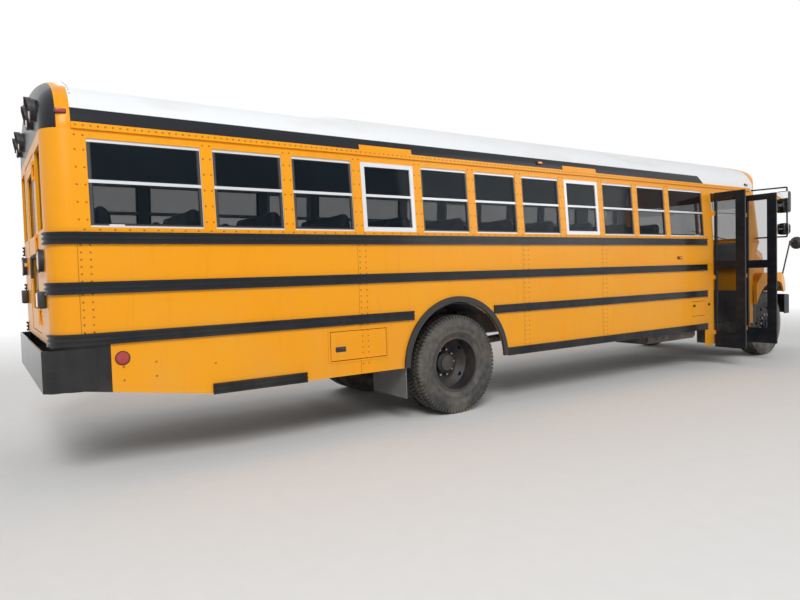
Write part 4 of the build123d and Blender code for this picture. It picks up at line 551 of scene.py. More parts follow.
def stud(mesh, place, direction, radius, tip, height, sides=8):
    # small dome or stud standing on a surface, stamped from a form that is made once
    key = (radius, tip, height, sides)
    if key not in studForms:
        form = bmesh.new()
        bmesh.ops.create_cone(form, cap_ends=True, segments=sides, radius1=radius, radius2=tip, depth=height,
                              matrix=Matrix.Translation((0, 0, height / 2)))
        studForms[key] = bpy.data.meshes.new("stud_form")
        form.to_mesh(studForms[key])
        form.free()
    at = Matrix.Translation(place) @ Vector(direction).to_track_quat("Z", "Y").to_matrix().to_4x4()
    studForms[key].transform(at)
    mesh.from_mesh(studForms[key])
    studForms[key].transform(at.inverted())


def spun(mesh, outline, centre, axis, steps=48):
    # ring from (radius, along) points turned about an axis through centre
    axis = Vector(axis).normalized()
    side = axis.orthogonal().normalized()
    verts = [mesh.verts.new(Vector(centre) + side * r + axis * a) for r, a in outline]
    edges = [mesh.edges.new((a, b)) for a, b in zip(verts, verts[1:])]
    bmesh.ops.spin(mesh, geom=verts + edges, cent=centre, axis=axis, angle=2 * pi, steps=steps,
                   use_merge=True)


def cleaned(mesh, distance=0.00005):
    bmesh.ops.remove_doubles(mesh, verts=mesh.verts, dist=distance)
    bmesh.ops.recalc_face_normals(mesh, faces=mesh.faces)


def tube(mesh, points, radius, sides=10):
    # bent bar through a few points, with a ball at each bend
    for start, end in zip(points, points[1:]):
        start, end = Vector(start), Vector(end)
        turn = (end - start).to_track_quat("Z", "Y").to_matrix().to_4x4()
        bmesh.ops.create_cone(mesh, cap_ends=True, segments=sides, radius1=radius, radius2=radius,
                              depth=(end - start).length, matrix=Matrix.Translation((start + end) / 2) @ turn)
    for point in points[1:-1]:
        bmesh.ops.create_uvsphere(mesh, u_segments=sides, v_segments=6, radius=radius,
                                  matrix=Matrix.Translation(point))


surfaces = {}


def touch(node, start, direction):
    # first point and outward direction where a line meets a CAD node
    if node not in surfaces:
        copy = bmesh.new()
        copy.from_mesh(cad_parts[node].data)
        surfaces[node] = BVHTree.FromBMesh(copy)
        copy.free()
    place, normal, _, _ = surfaces[node].ray_cast(Vector(start), Vector(direction))
    return place, normal


def border(low, high, width):
    # four strips round a rectangle, each as two corners in its plane
    (a0, b0), (a1, b1) = low, high
    return (((a0 - width, b0 - width), (a1 + width, b0)), ((a0 - width, b1), (a1 + width, b1 + width)),
            ((a0 - width, b0), (a0, b1)), ((a1, b0), (a1 + width, b1)))


# Rivets along the sheet joints of both sides, the pillars, the sill and the drip rail
rivets = {"radius": 0.0085, "tip": 0.0046, "height": 0.0038, "flat": 0.55, "pitch": 0.055,
          "columns": (0.020, 0.085), "rows": ((0.672, 1.045), (1.150, 1.432), (1.532, 1.800)),
          "pillarZ": (1.99, 2.12, 2.25, 2.38, 2.51, 2.62), "pillarInset": 0.020, "rearPillar": 0.078,
          "sillPitch": 0.105, "sillZ": 1.917, "dripPitch": 0.052, "dripOut": 0.018, "dripUp": 0.026,
          "doorway": {1: (3.12, 4.05), -1: (3.10, 4.09)}, "screwRadius": 0.0095,
          "skirtScrews": ((-5.11, 0.868), (-5.11, 0.765), (-4.87, 0.884), (-4.87, 0.772), (-4.40, 0.825))}


def sideNormal(side, z):
    lean = atan2(bus["tumblehome"], bus["dripZ"] - bus["sillZ"]) if z > bus["sillZ"] else 0.0
    return Vector((0.0, side * cos(lean), sin(lean)))


def alongSide(pitch):
    # x of each rivet in a row that runs the length of a side
    count = int((bus["jambX"] - bus["seamX"]) / pitch)
    return [bus["seamX"] + (i + 0.5) * pitch for i in range(count)]


def sideRivets(mesh, side):
    def rivet(x, z, radius=rivets["radius"]):
        stud(mesh, (x, side * wallY(z), z), sideNormal(side, z), radius, radius * rivets["flat"],
             rivets["height"])

    for seam in bus["sheetSeams"] + (bus["seamX"],):
        for low, high in rivets["rows"]:
            if seam == bus["seamX"] and low < bus["cornerZ"]:
                continue
            count = round((high - low) / rivets["pitch"])
            for column in rivets["columns"]:
                for i in range(count + 1):
                    rivet(seam + column, low + i * (high - low) / count)
    for (_, rear), (front, _) in zip(windowEdges, windowEdges[1:]):
        for z in rivets["pillarZ"]:
            rivet(rear + rivets["pillarInset"], z)
            rivet(front - rivets["pillarInset"], z)
    for z in rivets["pillarZ"]:
        rivet(windowEdges[0][0] - rivets["pillarInset"], z)
        rivet(windowEdges[0][0] - rivets["rearPillar"], z)
    # the service door on the right and the driver's window on the left leave a gap
    doorRear, doorFront = rivets["doorway"][side]
    for x in alongSide(rivets["sillPitch"]):
        if not doorRear < x < doorFront:
            rivet(x, rivets["sillZ"])
    for x in alongSide(rivets["dripPitch"]):
        stud(mesh, (x, side * (wallY(bus["dripZ"]) + rivets["dripOut"]), bus["dripZ"] + rivets["dripUp"]),
             (0, side, 0), rivets["radius"], rivets["tip"], rivets["height"])
    for x, z in rivets["skirtScrews"]:
        rivet(x, z, rivets["screwRadius"])


for side, name in ((1, "left"), (-1, "right")):
    mesh = bmesh.new()
    sideRivets(mesh, side)
    placed(mesh, f"rivets_{name}", "chassis", "rivet")
print("stage: rivets set")

# Rows of rivets over the roof where the end caps lap it
roofRivets = {"x": (-5.372, 4.238), "above": 3.60, "span": 1.05, "count": 44}
mesh = bmesh.new()
for x in roofRivets["x"]:
    for i in range(roofRivets["count"] + 1):
        y = roofRivets["span"] * (2.0 * i / roofRivets["count"] - 1.0)
        place, normal = touch("roof_skin", (x, y, roofRivets["above"]), (0, 0, -1))
        if place:
            stud(mesh, place, normal, rivets["radius"], rivets["tip"], rivets["height"])
placed(mesh, "rivets_roof", "chassis", "roofRivet")
print("stage: roof rivets set")

# Dark seals round the panes
seals = {"width": 0.008, "thickness": 0.003}


def sealRing(mesh, corners, outward):
    ring = mesh.faces.new([mesh.verts.new(corner) for corner in corners])
    if ring.normal.dot(Vector(outward)) < 0:
        ring.normal_flip()
    mesh.normal_update()
    inner = bmesh.ops.inset_region(mesh, faces=[ring], thickness=seals["width"], use_boundary=True,
                                   use_even_offset=True)["faces"]
    bmesh.ops.delete(mesh, geom=[ring], context="FACES_ONLY")
    bmesh.ops.solidify(mesh, geom=inner, thickness=seals["thickness"])


mesh = bmesh.new()
for low, high in [pair for pair in islandBoxes("side_glass") if pair[0].y > 0]:
    depth = wallY(low.z) - high.y
    corners = ((low.x, low.z), (high.x, low.z), (high.x, high.z), (low.x, high.z))
    for side in (1, -1):
        # the driver's low window is on the left side only
        if side > 0 or low.z >= bus["sillZ"]:
            sealRing(mesh, [(x, side * (wallY(z) - depth), z) for x, z in corners], (0, side, 0))
cleaned(mesh)
placed(mesh, "window_seals", "chassis", "rubber")
mesh = bmesh.new()
for low, high in islandBoxes("rear_door_glass"):
    corners = ((low.y, low.z), (high.y, low.z), (high.y, high.z), (low.y, high.z))
    sealRing(mesh, [(low.x, y, z) for y, z in corners], (-1, 0, 0))
cleaned(mesh)
placed(mesh, "rear_door_seal", "rear_door", "rubber")
print("stage: seals set")

# Tyres: ribbed sidewalls, five rows of tread blocks and shoulder lugs.
# Each row has its place across, width, shift along and drop at the shoulder
tread = {"pitches": 76, "depth": 0.016, "root": 0.004, "taper": 0.88, "gap": 0.80, "stagger": 0.25,
         "rows": ((0.0, 0.034, 0.0, 0.0), (0.044, 0.034, 0.5, 0.0), (0.094, 0.046, 0.0, 0.006)),
         "lug": {"across": 0.116, "half": 0.009, "low": 0.050, "high": 0.012, "length": 0.36},
         "sides": 96, "angle": 28.0}
sidewall = {"radius": 0.530, "half": 0.1395,      # of the tyre that the points are drawn for
            "points": ((0.290, 0.096), (0.303, 0.103), (0.322, 0.117), (0.345, 0.128), (0.350, 0.1325),
                       (0.356, 0.131), (0.400, 0.1380), (0.405, 0.1395), (0.437, 0.1392), (0.442, 0.1375),
                       (0.474, 0.1310), (0.496, 0.1215), (0.509, 0.1080), (0.5135, 0.085))}
wheels = (("wheel_front_left", "tyre_front_left", "wheel_disc_front_left"),
          ("wheel_front_right", "tyre_front_right", "wheel_disc_front_right"),
          ("wheel_rear_left", "tyres_rear_left", "wheel_discs_rear_left"),
          ("wheel_rear_right", "tyres_rear_right", "wheel_discs_rear_right"))


def treadBlock(mesh, centre, radius, across, width, angle, length, drop):
    base = radius - tread["depth"] - tread["root"]
    verts = block(mesh, (centre.x - length / 2, centre.y + across - width / 2, centre.z + base),
                  (centre.x + length / 2, centre.y + across + width / 2, centre.z + radius - drop))
    top = [vert for vert in verts if vert.co.z > centre.z + base + tread["root"] / 2]
    bmesh.ops.scale(mesh, vec=(tread["taper"], tread["taper"], 1.0), verts=top,
                    space=Matrix.Translation((-centre.x, -centre.y - across, 0)))
    bmesh.ops.rotate(mesh, verts=verts, cent=centre, matrix=Matrix.Rotation(angle, 3, "Y"))


def tyreForm(centre, radius, width):
    # one pitch of blocks is turned round the wheel, then the carcass is spun
    form = bmesh.new()
    grow = width / 2 / sidewall["half"]
    step = 2 * pi / tread["pitches"]
    length = step * radius * tread["gap"]
    lug = tread["lug"]
    for across, rowWidth, shift, drop in tread["rows"]:
        for side in ((1, -1) if across else (1,)):
            offset = shift + (tread["stagger"] if side < 0 else 0.0)
            treadBlock(form, centre, radius, side * across * grow, rowWidth, offset * step, length, drop)
    for side in (1, -1):
        low, high = [(centre.x + end * length * lug["length"],
                      centre.y + side * lug["across"] + end * lug["half"], centre.z + radius - depth)
                     for end, depth in ((-1, lug["low"]), (1, lug["high"]))]
        turn = Matrix.Rotation(tread["stagger"] * step if side < 0 else 0.0, 3, "Y")
        bmesh.ops.rotate(form, verts=block(form, low, high), cent=centre, matrix=turn)
    bmesh.ops.spin(form, geom=form.verts[:] + form.edges[:] + form.faces[:], cent=centre, axis=(0, 1, 0),
                   angle=2 * pi - step, steps=tread["pitches"] - 1, use_duplicate=True)
    outline = [(r * radius / sidewall["radius"], y * grow) for r, y in sidewall["points"]]
    outline += [(r, -y) for r, y in outline[::-1]]
    spun(form, outline + outline[:1], centre, (0, 1, 0), tread["sides"])
    return form


for body, tyre, _ in wheels:
    mesh = bmesh.new()
    for low, high in islandBoxes(tyre):
        form = tyreForm((low + high) / 2, (high.z - low.z) / 2, high.y - low.y)
        data = bpy.data.meshes.new("tyre_form")
        form.to_mesh(data)
        form.free()
        mesh.from_mesh(data)
        bpy.data.meshes.remove(data)
    cleaned(mesh, 0.00001)
    placed(mesh, f"treaded_{tyre}", body, "tyre", (tyre,), tread["angle"])
print("stage: tyres made")

# Wheel nuts on the discs: each washer, nut and stud end with its start, two radii, height and sides
nuts = {"circle": 0.142875, "count": 10, "face": {"front": 1.113, "rear": 0.8705},
        "forms": ((0.0, 0.024375, 0.0234, 0.006, 14), (0.006, 0.0195, 0.01794, 0.028, 6),
                  (0.030, 0.010, 0.010, 0.012, 10))}
for body, _, disc in wheels:
    low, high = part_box(disc)
    side = 1 if "left" in disc else -1
    middle = (low + high) / 2
    face = nuts["face"]["front" if "front" in disc else "rear"]
    mesh = bmesh.new()
    for i in range(nuts["count"]):
        angle = 2 * pi * i / nuts["count"]
        x = middle.x + nuts["circle"] * cos(angle)
        z = middle.z + nuts["circle"] * sin(angle)
        for start, foot, tip, height, sides in nuts["forms"]:
            stud(mesh, (x, side * (face + start), z), (0, side, 0), foot, tip, height, sides)
    placed(mesh, f"wheel_nuts_{body[6:]}", body, "zinc")
print("stage: wheel nuts set")

# Rear and front lamps: domed lens, black ring and visor
lampForm = {"body": 0.086, "bodyDepth": 0.030, "lens": 0.080, "dome": 0.018, "sides": 40, "tipRadius": 0.0005,
            "domeShape": ((1.0, 0.0), (0.96, 0.45), (0.80, 0.78), (0.5, 0.95)),
            "ring": 0.093, "ringWidth": 0.012, "ringDepth": 0.010,
            "squareRim": 0.012, "squareLens": 0.004, "lensBevel": 0.003,
            "amberWithin": 0.7,      # lamps nearer the middle than this are amber
            "visorAbove": 2.5, "visorLength": 0.045, "visorThickness": 0.003, "visorStart": -20.0,
            "visorSweep": 220.0, "visorSteps": 22, "visorSideLength": 0.55}


def domeLens(mesh, centre, radius, depth, axis):
    outline = [(radius * r, depth * d) for r, d in lampForm["domeShape"]]
    spun(mesh, outline + [(lampForm["tipRadius"], depth)], centre, axis, lampForm["sides"])


def lampRing(mesh, centre, radius, width, depth, axis):
    outline = [(radius, 0.0), (radius + width, 0.0), (radius + width, depth),
               (radius + width * 0.3, depth + 0.004), (radius, depth * 0.8), (radius, 0.0)]
    spun(mesh, outline, centre, axis, lampForm["sides"])


def visor(mesh, centre, radius, length, axis):
    # hood over the upper half of a round lamp, longest at its top
    steps = lampForm["visorSteps"]
    angles = [radians(lampForm["visorStart"] + lampForm["visorSweep"] * i / steps) for i in range(steps + 1)]
    start = [mesh.verts.new(Vector(centre) + Vector((0, radius * cos(a), radius * sin(a)))) for a in angles]
    edges = [mesh.edges.new(pair) for pair in zip(start, start[1:])]
    grown = bmesh.ops.extrude_edge_only(mesh, edges=edges)["geom"]
    short = lampForm["visorSideLength"]
    for vert in [item for item in grown if isinstance(item, bmesh.types.BMVert)]:
        height = max((vert.co.z - centre[2]) / radius, 0.0)
        vert.co += Vector(axis) * length * (short + (1.0 - short) * height)
    bmesh.ops.solidify(mesh, geom=[item for item in grown if isinstance(item, bmesh.types.BMFace)],
                       thickness=lampForm["visorThickness"])


def placedLamps(meshes, pattern, replaced=()):
    # one piece for each finish; the first one stands for the replaced node
    for finish, (mesh, name) in meshes.items():
        cleaned(mesh)
        placed(mesh, pattern.format(name), "chassis", finish, replaced)
        replaced = ()


for node, outX in (("rear_lamps", -1), ("front_lamps", 1)):
    red, amber, black = bmesh.new(), bmesh.new(), bmesh.new()
    out = (outX, 0, 0)
    for low, high in islandBoxes(node):
        middle = (low + high) / 2
        back, tip = (high.x, low.x) if outX < 0 else (low.x, high.x)
        face = (tip - outX * lampForm["bodyDepth"], middle.y, middle.z)
        lens = amber if abs(middle.y) < lampForm["amberWithin"] else red
        if abs((high.z - low.z) - (high.y - low.y)) > 0.002:
            # a lamp that isn't as high as it is wide has a flat rectangular lens
            rim, thick = lampForm["squareRim"], lampForm["squareLens"]
            block(black, low, high, rim)
            block(red, (tip - thick, low.y + rim, low.z + rim),
                  (tip + thick, high.y - rim, high.z - rim), lampForm["lensBevel"])
            continue
        depth = abs(face[0] - back)
        spun(black, [(lampForm["body"], 0.0), (lampForm["body"], depth), (lampForm["tipRadius"], depth)],
             (back, middle.y, middle.z), out, lampForm["sides"])
        domeLens(lens, face, lampForm["lens"], lampForm["dome"], out)
        lampRing(black, face, lampForm["lens"], lampForm["ringWidth"], lampForm["ringDepth"], out)
        if middle.z > lampForm["visorAbove"]:
            visor(black, face, lampForm["ring"], lampForm["visorLength"], out)
    placedLamps({"red": (red, "lenses_red"), "amber": (amber, "lenses_amber"),
                 "plastic": (black, "housings")}, node + "_{}", (node,))
print("stage: lamps made")

# Small marker lamps, side reflectors and the amber side lamp
markers = {"reflectorX": -5.115, "reflectorZ": 0.937, "reflectorRadius": 0.050, "reflectorDome": 0.006,
           "ringWidth": 0.005, "ringDepth": 0.004, "half": (0.040, 0.018), "lensHalf": (0.032, 0.013),
           "out": 0.022, "lensOut": 0.034, "sunk": 0.006, "sideLamp": (2.242, 1.631),
           "roofRow": ((-5.451, 2.787, "red"), (-0.475, 2.769, "amber"), (4.165, 2.765, "amber"))}


def marker(base, lens, place, side):
    # low bevelled base with a proud lens, on a side wall
    x, y, z = place
    for mesh, half, out, bevel, steps in ((base, markers["half"], markers["out"], 0.004, 2),
                                          (lens, markers["lensHalf"], markers["lensOut"], 0.006, 3)):
        block(mesh, (x - half[0], min(y, y + side * out), z - half[1]),
              (x + half[0], max(y, y + side * out), z + half[1]), bevel, steps)


red, amber, black = bmesh.new(), bmesh.new(), bmesh.new()
for side in (1, -1):
    centre = (markers["reflectorX"], side * bus["halfWidth"], markers["reflectorZ"])
    domeLens(red, centre, markers["reflectorRadius"], markers["reflectorDome"], (0, side, 0))
    lampRing(black, centre, markers["reflectorRadius"], markers["ringWidth"], markers["ringDepth"],
             (0, side, 0))
    marker(black, amber, (markers["sideLamp"][0], side * bus["halfWidth"], markers["sideLamp"][1]), side)
    for x, z, colour in markers["roofRow"]:
        node = "rear_cap" if x < bus["seamX"] else "roof_skin"
        place, _ = touch(node, (x, side * bus["besideY"], z), (0, -side, 0))
        if place:
            marker(black, red if colour == "red" else amber, (x, place.y - side * markers["sunk"], z), side)
placedLamps({"red": (red, "lenses_red"), "amber": (amber, "lenses_amber"),
             "plastic": (black, "marker_bases")}, "side_{}")

# Three small lamps in a row on each end cap
clusters = {"pitch": 0.16, "half": (0.045, 0.016), "lensHalf": (0.036, 0.011), "out": 0.020, "lensOut": 0.030,
            "sunk": 0.008, "rearZ": 3.06, "frontZ": 3.03}
for node, outX, z, finish in (("rear_cap", -1, clusters["rearZ"], "red"),
                              ("front_cap", 1, clusters["frontZ"], "amber")):
    base, lens = bmesh.new(), bmesh.new()
    for step in (-1, 0, 1):
        y = step * clusters["pitch"]
        place, normal = touch(node, (outX * bus["beyondX"], y, z), (-outX, 0, 0))
        turn = Matrix.Translation(place) @ normal.to_track_quat("X", "Z").to_matrix().to_4x4()
        for mesh, half, out, bevel in ((base, clusters["half"], clusters["out"], 0.004),
                                       (lens, clusters["lensHalf"], clusters["lensOut"], 0.006)):
            made = block(mesh, (-clusters["sunk"], -half[0], -half[1]), (out, half[0], half[1]), bevel)
            bmesh.ops.transform(mesh, matrix=turn, verts=made)
    placedLamps({finish: (lens, "lenses"), "plastic": (base, "bases")}, node + "_marker_{}")
print("stage: markers set")

# Raised frame and latch of the luggage hatch, the latch of the fuel door and a button beside it
hatch = {"low": (-3.328, 0.726), "high": (-2.710, 0.994), "clear": 0.006, "rim": 0.016, "thickness": 0.006}
latches = {"hatch_latch": ("hatch", (-3.22, 0.830), (0.055, 0.024)),
           "fuel_latch": ("fuel_flap", (2.605, 0.930), (0.026, 0.018))}
latchForm = {"plate": 0.006, "sunk": 0.002, "leverFoot": 0.004, "out": 0.016, "bevel": 0.004}
button = {"x": 2.985, "z": 0.935, "radius": 0.022, "tip": 0.0176, "height": 0.016, "sides": 20}
wall = -bus["halfWidth"]
mesh = bmesh.new()
for (x0, z0), (x1, z1) in border([value - hatch["clear"] for value in hatch["low"]],
                                 [value + hatch["clear"] for value in hatch["high"]], hatch["rim"]):
    block(mesh, (x0, wall - hatch["thickness"], z0), (x1, wall, z1))
cleaned(mesh)
placed(mesh, "hatch_frame", "chassis", "yellow")
for name, (body, (x, z), (halfX, halfZ)) in latches.items():
    mesh = bmesh.new()
    block(mesh, (x - halfX, wall - latchForm["plate"], z - halfZ),
          (x + halfX, wall + latchForm["sunk"], z + halfZ), latchForm["bevel"])
    block(mesh, (x - halfX * 0.6, wall - latchForm["out"], z - halfZ * 0.45),
          (x + halfX * 0.75, wall - latchForm["leverFoot"], z + halfZ * 0.45), latchForm["bevel"])
    cleaned(mesh)
    placed(mesh, name, body, "plastic")
mesh = bmesh.new()
stud(mesh, (button["x"], wall, button["z"]), (0, -1, 0), button["radius"], button["tip"], button["height"],
     button["sides"])
placed(mesh, "door_post_button", "chassis", "plastic")

# Blank yellow plates on the roof edge over the two exit windows
plates = {"z": (2.716, 2.766), "thickness": 0.0025}
mesh = bmesh.new()
for index in windowTrim["exits"]:
    x0, x1 = windowEdges[index]
    for side in (1, -1):
        foot, top = [touch("roof_skin", ((x0 + x1) / 2, side * bus["besideY"], z), (0, -side, 0))[0]
                     for z in plates["z"]]
        for vert in bmesh.ops.create_cube(mesh, size=1.0)["verts"]:
            place = top if vert.co.z > 0 else foot
            out = plates["thickness"] * (1 if vert.co.y > 0 else -0.5)
            vert.co = Vector((x1 if vert.co.x > 0 else x0, place.y + side * out, place.z))
cleaned(mesh)
placed(mesh, "exit_plates", "chassis", "yellow")

# Lever handle of the rear door
handle = {"y": -0.36, "z": 1.74, "plate": (0.035, 0.075), "plateOut": 0.008, "sunk": 0.002, "bevel": 0.006,
          "leverFoot": 0.004, "out": 0.045, "lever": 0.17, "leverEnd": 0.02, "leverRadius": 0.011}
mesh = bmesh.new()
y, z = handle["y"], handle["z"]
x = touch("rear_door_panel", (-bus["beyondX"], y, z), (1, 0, 0))[0].x
halfY, halfZ = handle["plate"]
block(mesh, (x - handle["plateOut"], y - halfY, z - halfZ), (x + handle["sunk"], y + halfY, z + halfZ),
      handle["bevel"])
tube(mesh, [(x - handle["leverFoot"], y, z), (x - handle["out"], y, z),
            (x - handle["out"], y + handle["leverEnd"], z - handle["lever"])], handle["leverRadius"], 12)
cleaned(mesh)
placed(mesh, "rear_door_handle", "rear_door", "plastic")
print("stage: latches set")

# Radiator behind the grille, and bright rims round the headlamps
radiator = {"low": (5.385, -0.40, 1.080), "high": (5.425, 0.40, 1.410), "bevel": 0.004,
            "tank": 0.030, "tankBack": 0.010, "tankHalf": 0.41, "tankBevel": 0.010}
mesh = bmesh.new()
block(mesh, radiator["low"], radiator["high"], radiator["bevel"])
for z in (radiator["low"][2] - radiator["tank"], radiator["high"][2]):
    block(mesh, (radiator["low"][0] - radiator["tankBack"], -radiator["tankHalf"], z),
          (radiator["high"][0], radiator["tankHalf"], z + radiator["tank"]), radiator["tankBevel"])
cleaned(mesh)
placed(mesh, "radiator", "chassis", "fins")
rims = {"width": 0.014, "depth": 0.010, "sunk": 0.004, "bevel": 0.003}
mesh = bmesh.new()
for low, high in islandBoxes("headlamps"):
    for (y0, z0), (y1, z1) in border((low.y, low.z), (high.y, high.z), rims["width"]):
        block(mesh, (high.x - rims["sunk"], y0, z0), (high.x + rims["depth"], y1, z1), rims["bevel"])
cleaned(mesh)
placed(mesh, "headlamp_rims", "hood", "aluminium")
print("stage: front details made")

# Mirror glass on the flat and the domed head of each side mirror
mirrors = {"y": 1.610, "half": 0.082, "heads": ((2.300, 2.610), (1.960, 2.120)), "behindX": 4.0,
           "out": 0.004, "sunk": 0.001, "bevel": 0.0018}
mesh = bmesh.new()
for side in (1, -1):
    y = side * mirrors["y"]
    for z0, z1 in mirrors["heads"]:
        place, _ = touch("side_mirrors", (mirrors["behindX"], y, (z0 + z1) / 2), (1, 0, 0))
        if place:
            block(mesh, (place.x - mirrors["out"], y - mirrors["half"], z0),
                  (place.x + mirrors["sunk"], y + mirrors["half"], z1), mirrors["bevel"])
cleaned(mesh)
placed(mesh, "side_mirror_glass", "chassis", "mirror")
print("stage: mirrors made")

# Wipers on the windshield
wiper = {"pivots": (-0.55, 0.25), "z": 1.93, "length": 0.46, "lean": 0.30, "clear": 0.022, "aheadX": 6.0,
         "shaft": 0.020, "armRadius": 0.007, "blade": 0.52, "bladeBack": 0.008, "bladeRadius": 0.006}
mesh = bmesh.new()
for y in wiper["pivots"]:
    tipY = y + wiper["length"] * cos(wiper["lean"])
    tipZ = wiper["z"] + wiper["length"] * sin(wiper["lean"])
    points = []
    for py, pz in ((y, wiper["z"]), (tipY, tipZ)):
        found = [touch(node, (wiper["aheadX"], py, pz), (-1, 0, 0))[0]
                 for node in ("cowl_and_windshield_frame", "end_glass")]
        points.append(Vector((max(place.x for place in found if place) + wiper["clear"], py, pz)))
    tube(mesh, [points[0] - Vector((wiper["shaft"], 0, 0)), *points], wiper["armRadius"], 8)
    along = (points[1] - points[0]).normalized()
    middle = points[1] - Vector((wiper["bladeBack"], 0, 0))
    tube(mesh, [middle - along * wiper["blade"] / 2, middle + along * wiper["blade"] / 2],
         wiper["bladeRadius"], 6)
cleaned(mesh)
placed(mesh, "wipers", "chassis", "plastic")
print("stage: wipers made")

# Rubber edges of the service door leaves
leafEdge = {"inset": 0.006, "foot": 0.004, "proud": 0.003, "bevel": 0.004}
for body, node in (("service_door_rear", "door_rear_leaf"), ("service_door_front", "door_front_leaf")):
    low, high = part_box(node)
    mesh = bmesh.new()
    block(mesh, (low.x + leafEdge["inset"], low.y - leafEdge["proud"], low.z + leafEdge["foot"]),
          (high.x - leafEdge["inset"], low.y + leafEdge["inset"], high.z - leafEdge["foot"]),
          leafEdge["bevel"])
    cleaned(mesh)
    placed(mesh, f"{node}_edge", body, "rubber")

# Long lamps under the middle of the roof
ceiling = {"count": 5, "first": -4.6, "pitch": 2.0, "y": 0.42, "half": (0.18, 0.06), "depth": 0.030,
           "sunk": 0.004, "bevel": 0.010, "castZ": 2.7}
halfX, halfY = ceiling["half"]
mesh = bmesh.new()
for i in range(ceiling["count"]):
    x = ceiling["first"] + i * ceiling["pitch"]
    for y in (ceiling["y"], -ceiling["y"]):
        place, _ = touch("roof_skin", (x, y, ceiling["castZ"]), (0, 0, 1))
        if place:
            block(mesh, (x - halfX, y - halfY, place.z - ceiling["depth"]),
                  (x + halfX, y + halfY, place.z + ceiling["sunk"]), ceiling["bevel"])
cleaned(mesh)
placed(mesh, "ceiling_lamps", "chassis", "clear")
print("stage: cabin lamps set")

# Padded seats: each form is swelled once by a cloth simulation and copied to its places
seats = {"voxel": 0.034, "pressure": 4.0, "frames": 20, "cap": 0.024, "inset": 0.016, "channelDepth": 0.007,
         "channelWidth": 0.016, "angle": 180.0, "firstX": -5.150, "pitch": 0.7112, "count": 11,
         "innerY": 0.149, "outerY": 1.139, "cushion": ((0.022, 0.455), (1.404, 1.504)),
         "back": ((-0.006, 0.062, 1.475), (-0.092, -0.006, 2.132))}


def swelled(mesh, name):
    # remeshed and puffed copy of a plain form, as a new bmesh
    data = bpy.data.meshes.new(name)
    mesh.to_mesh(data)
    mesh.free()
    form = bpy.data.objects.new(name, data)
    bpy.context.scene.collection.objects.link(form)
    remesh = form.modifiers.new("remesh", "REMESH")
    remesh.mode = "VOXEL"
    remesh.voxel_size = seats["voxel"]
    applyModifiers(form)
    rest = [vert.co.copy() for vert in form.data.vertices]
    cloth = form.modifiers.new("cloth", "CLOTH")
    cloth.settings.use_pressure = True
    cloth.settings.uniform_pressure_force = seats["pressure"]
    cloth.settings.effector_weights.gravity = 0.0
    scene = bpy.context.scene
    for step in range(1, seats["frames"] + 1):
        scene.frame_set(step)
    applyModifiers(form)
    scene.frame_set(1)
    for vert, start in zip(form.data.vertices, rest):
        move = vert.co - start
        if move.length > seats["cap"]:
            vert.co = start + move.normalized() * seats["cap"]
    form.modifiers.new("round", "SUBSURF").levels = 1
    applyModifiers(form)
    made = bmesh.new()
    made.from_mesh(form.data)
    bpy.data.objects.remove(form)
    return made


def applyModifiers(form):
    depsgraph = bpy.context.evaluated_depsgraph_get()
    data = bpy.data.meshes.new_from_object(form.evaluated_get(depsgraph))
    form.modifiers.clear()
    form.data = data


def channels(mesh, lines):
    # sewn channels: points near a line along the seat sink along the normal
    mesh.normal_update()
    for vert in mesh.verts:
        for line in lines:
            near = (vert.co.y - line) / seats["channelWidth"]
            vert.co -= vert.normal * seats["channelDepth"] * exp(-near * near)


def slab(lowEnd, highEnd, y0, y1):
    # leaning slab from (x0, x1, z) at the bottom to (x0, x1, z) at the top
    mesh = bmesh.new()
    verts = bmesh.ops.create_cube(mesh, size=1.0)["verts"]
    for vert in verts:
        x0, x1, z = highEnd if vert.co.z > 0 else lowEnd
        vert.co = Vector((x1 if vert.co.x > 0 else x0, y1 if vert.co.y > 0 else y0, z))
    return mesh


def padded(name, form, places, replaced):
    mesh = bmesh.new()
    data = bpy.data.meshes.new(name)
    form.to_mesh(data)
    for place in places:
        start = len(mesh.verts)
        mesh.from_mesh(data)
        mesh.verts.ensure_lookup_table()
        bmesh.ops.translate(mesh, vec=place, verts=mesh.verts[start:])
    bpy.data.meshes.remove(data)
    cleaned(mesh, 0.00001)
    piece = placed(mesh, name, "chassis", "vinyl", replaced, seats["angle"])


def seatForms(sizes, inner, outer):
    # plain cushion and back of a seat between two places across the bus
    (x0, x1), (z0, z1) = sizes["cushion"]
    return slab((x0, x1, z0), (x0, x1, z1), inner, outer), slab(*sizes["back"], inner, outer)


inner, outer = seats["innerY"] + seats["inset"], seats["outerY"] - seats["inset"]
third = (outer - inner) / 3
plain = seatForms(seats, inner, outer)
cushion, back = [swelled(form, name) for form, name in zip(plain, ("cushion_form", "back_form"))]
for form in (cushion, back):
    channels(form, (inner + third, outer - third))
for side, name in ((0.0, "left"), (-(seats["innerY"] + seats["outerY"]), "right")):
    places = [(seats["firstX"] + i * seats["pitch"], side, 0.0) for i in range(seats["count"])]
    padded(f"bench_cushions_{name}", cushion, places, ("passenger_seats",))
    padded(f"bench_backs_{name}", back, places, ())
cushion.free()
back.free()
driver = {"x": 3.251, "y": (0.335, 0.785), "channels": (0.45, 0.67),
          "cushion": ((0.02, 0.435), (1.470, 1.545)),
          "back": ((-0.030, 0.085, 1.560), (-0.048, 0.048, 2.212))}
for form, name, replaced in zip(seatForms(driver, *driver["y"]), ("driver_cushion", "driver_back"),
                                (("driver_seat",), ())):
    soft = swelled(form, f"{name}_form")
    channels(soft, driver["channels"])
    padded(name, soft, [(driver["x"], 0.0, 0.0)], replaced)
    soft.free()
for data in studForms.values():
    bpy.data.meshes.remove(data)
print("stage: seats made")

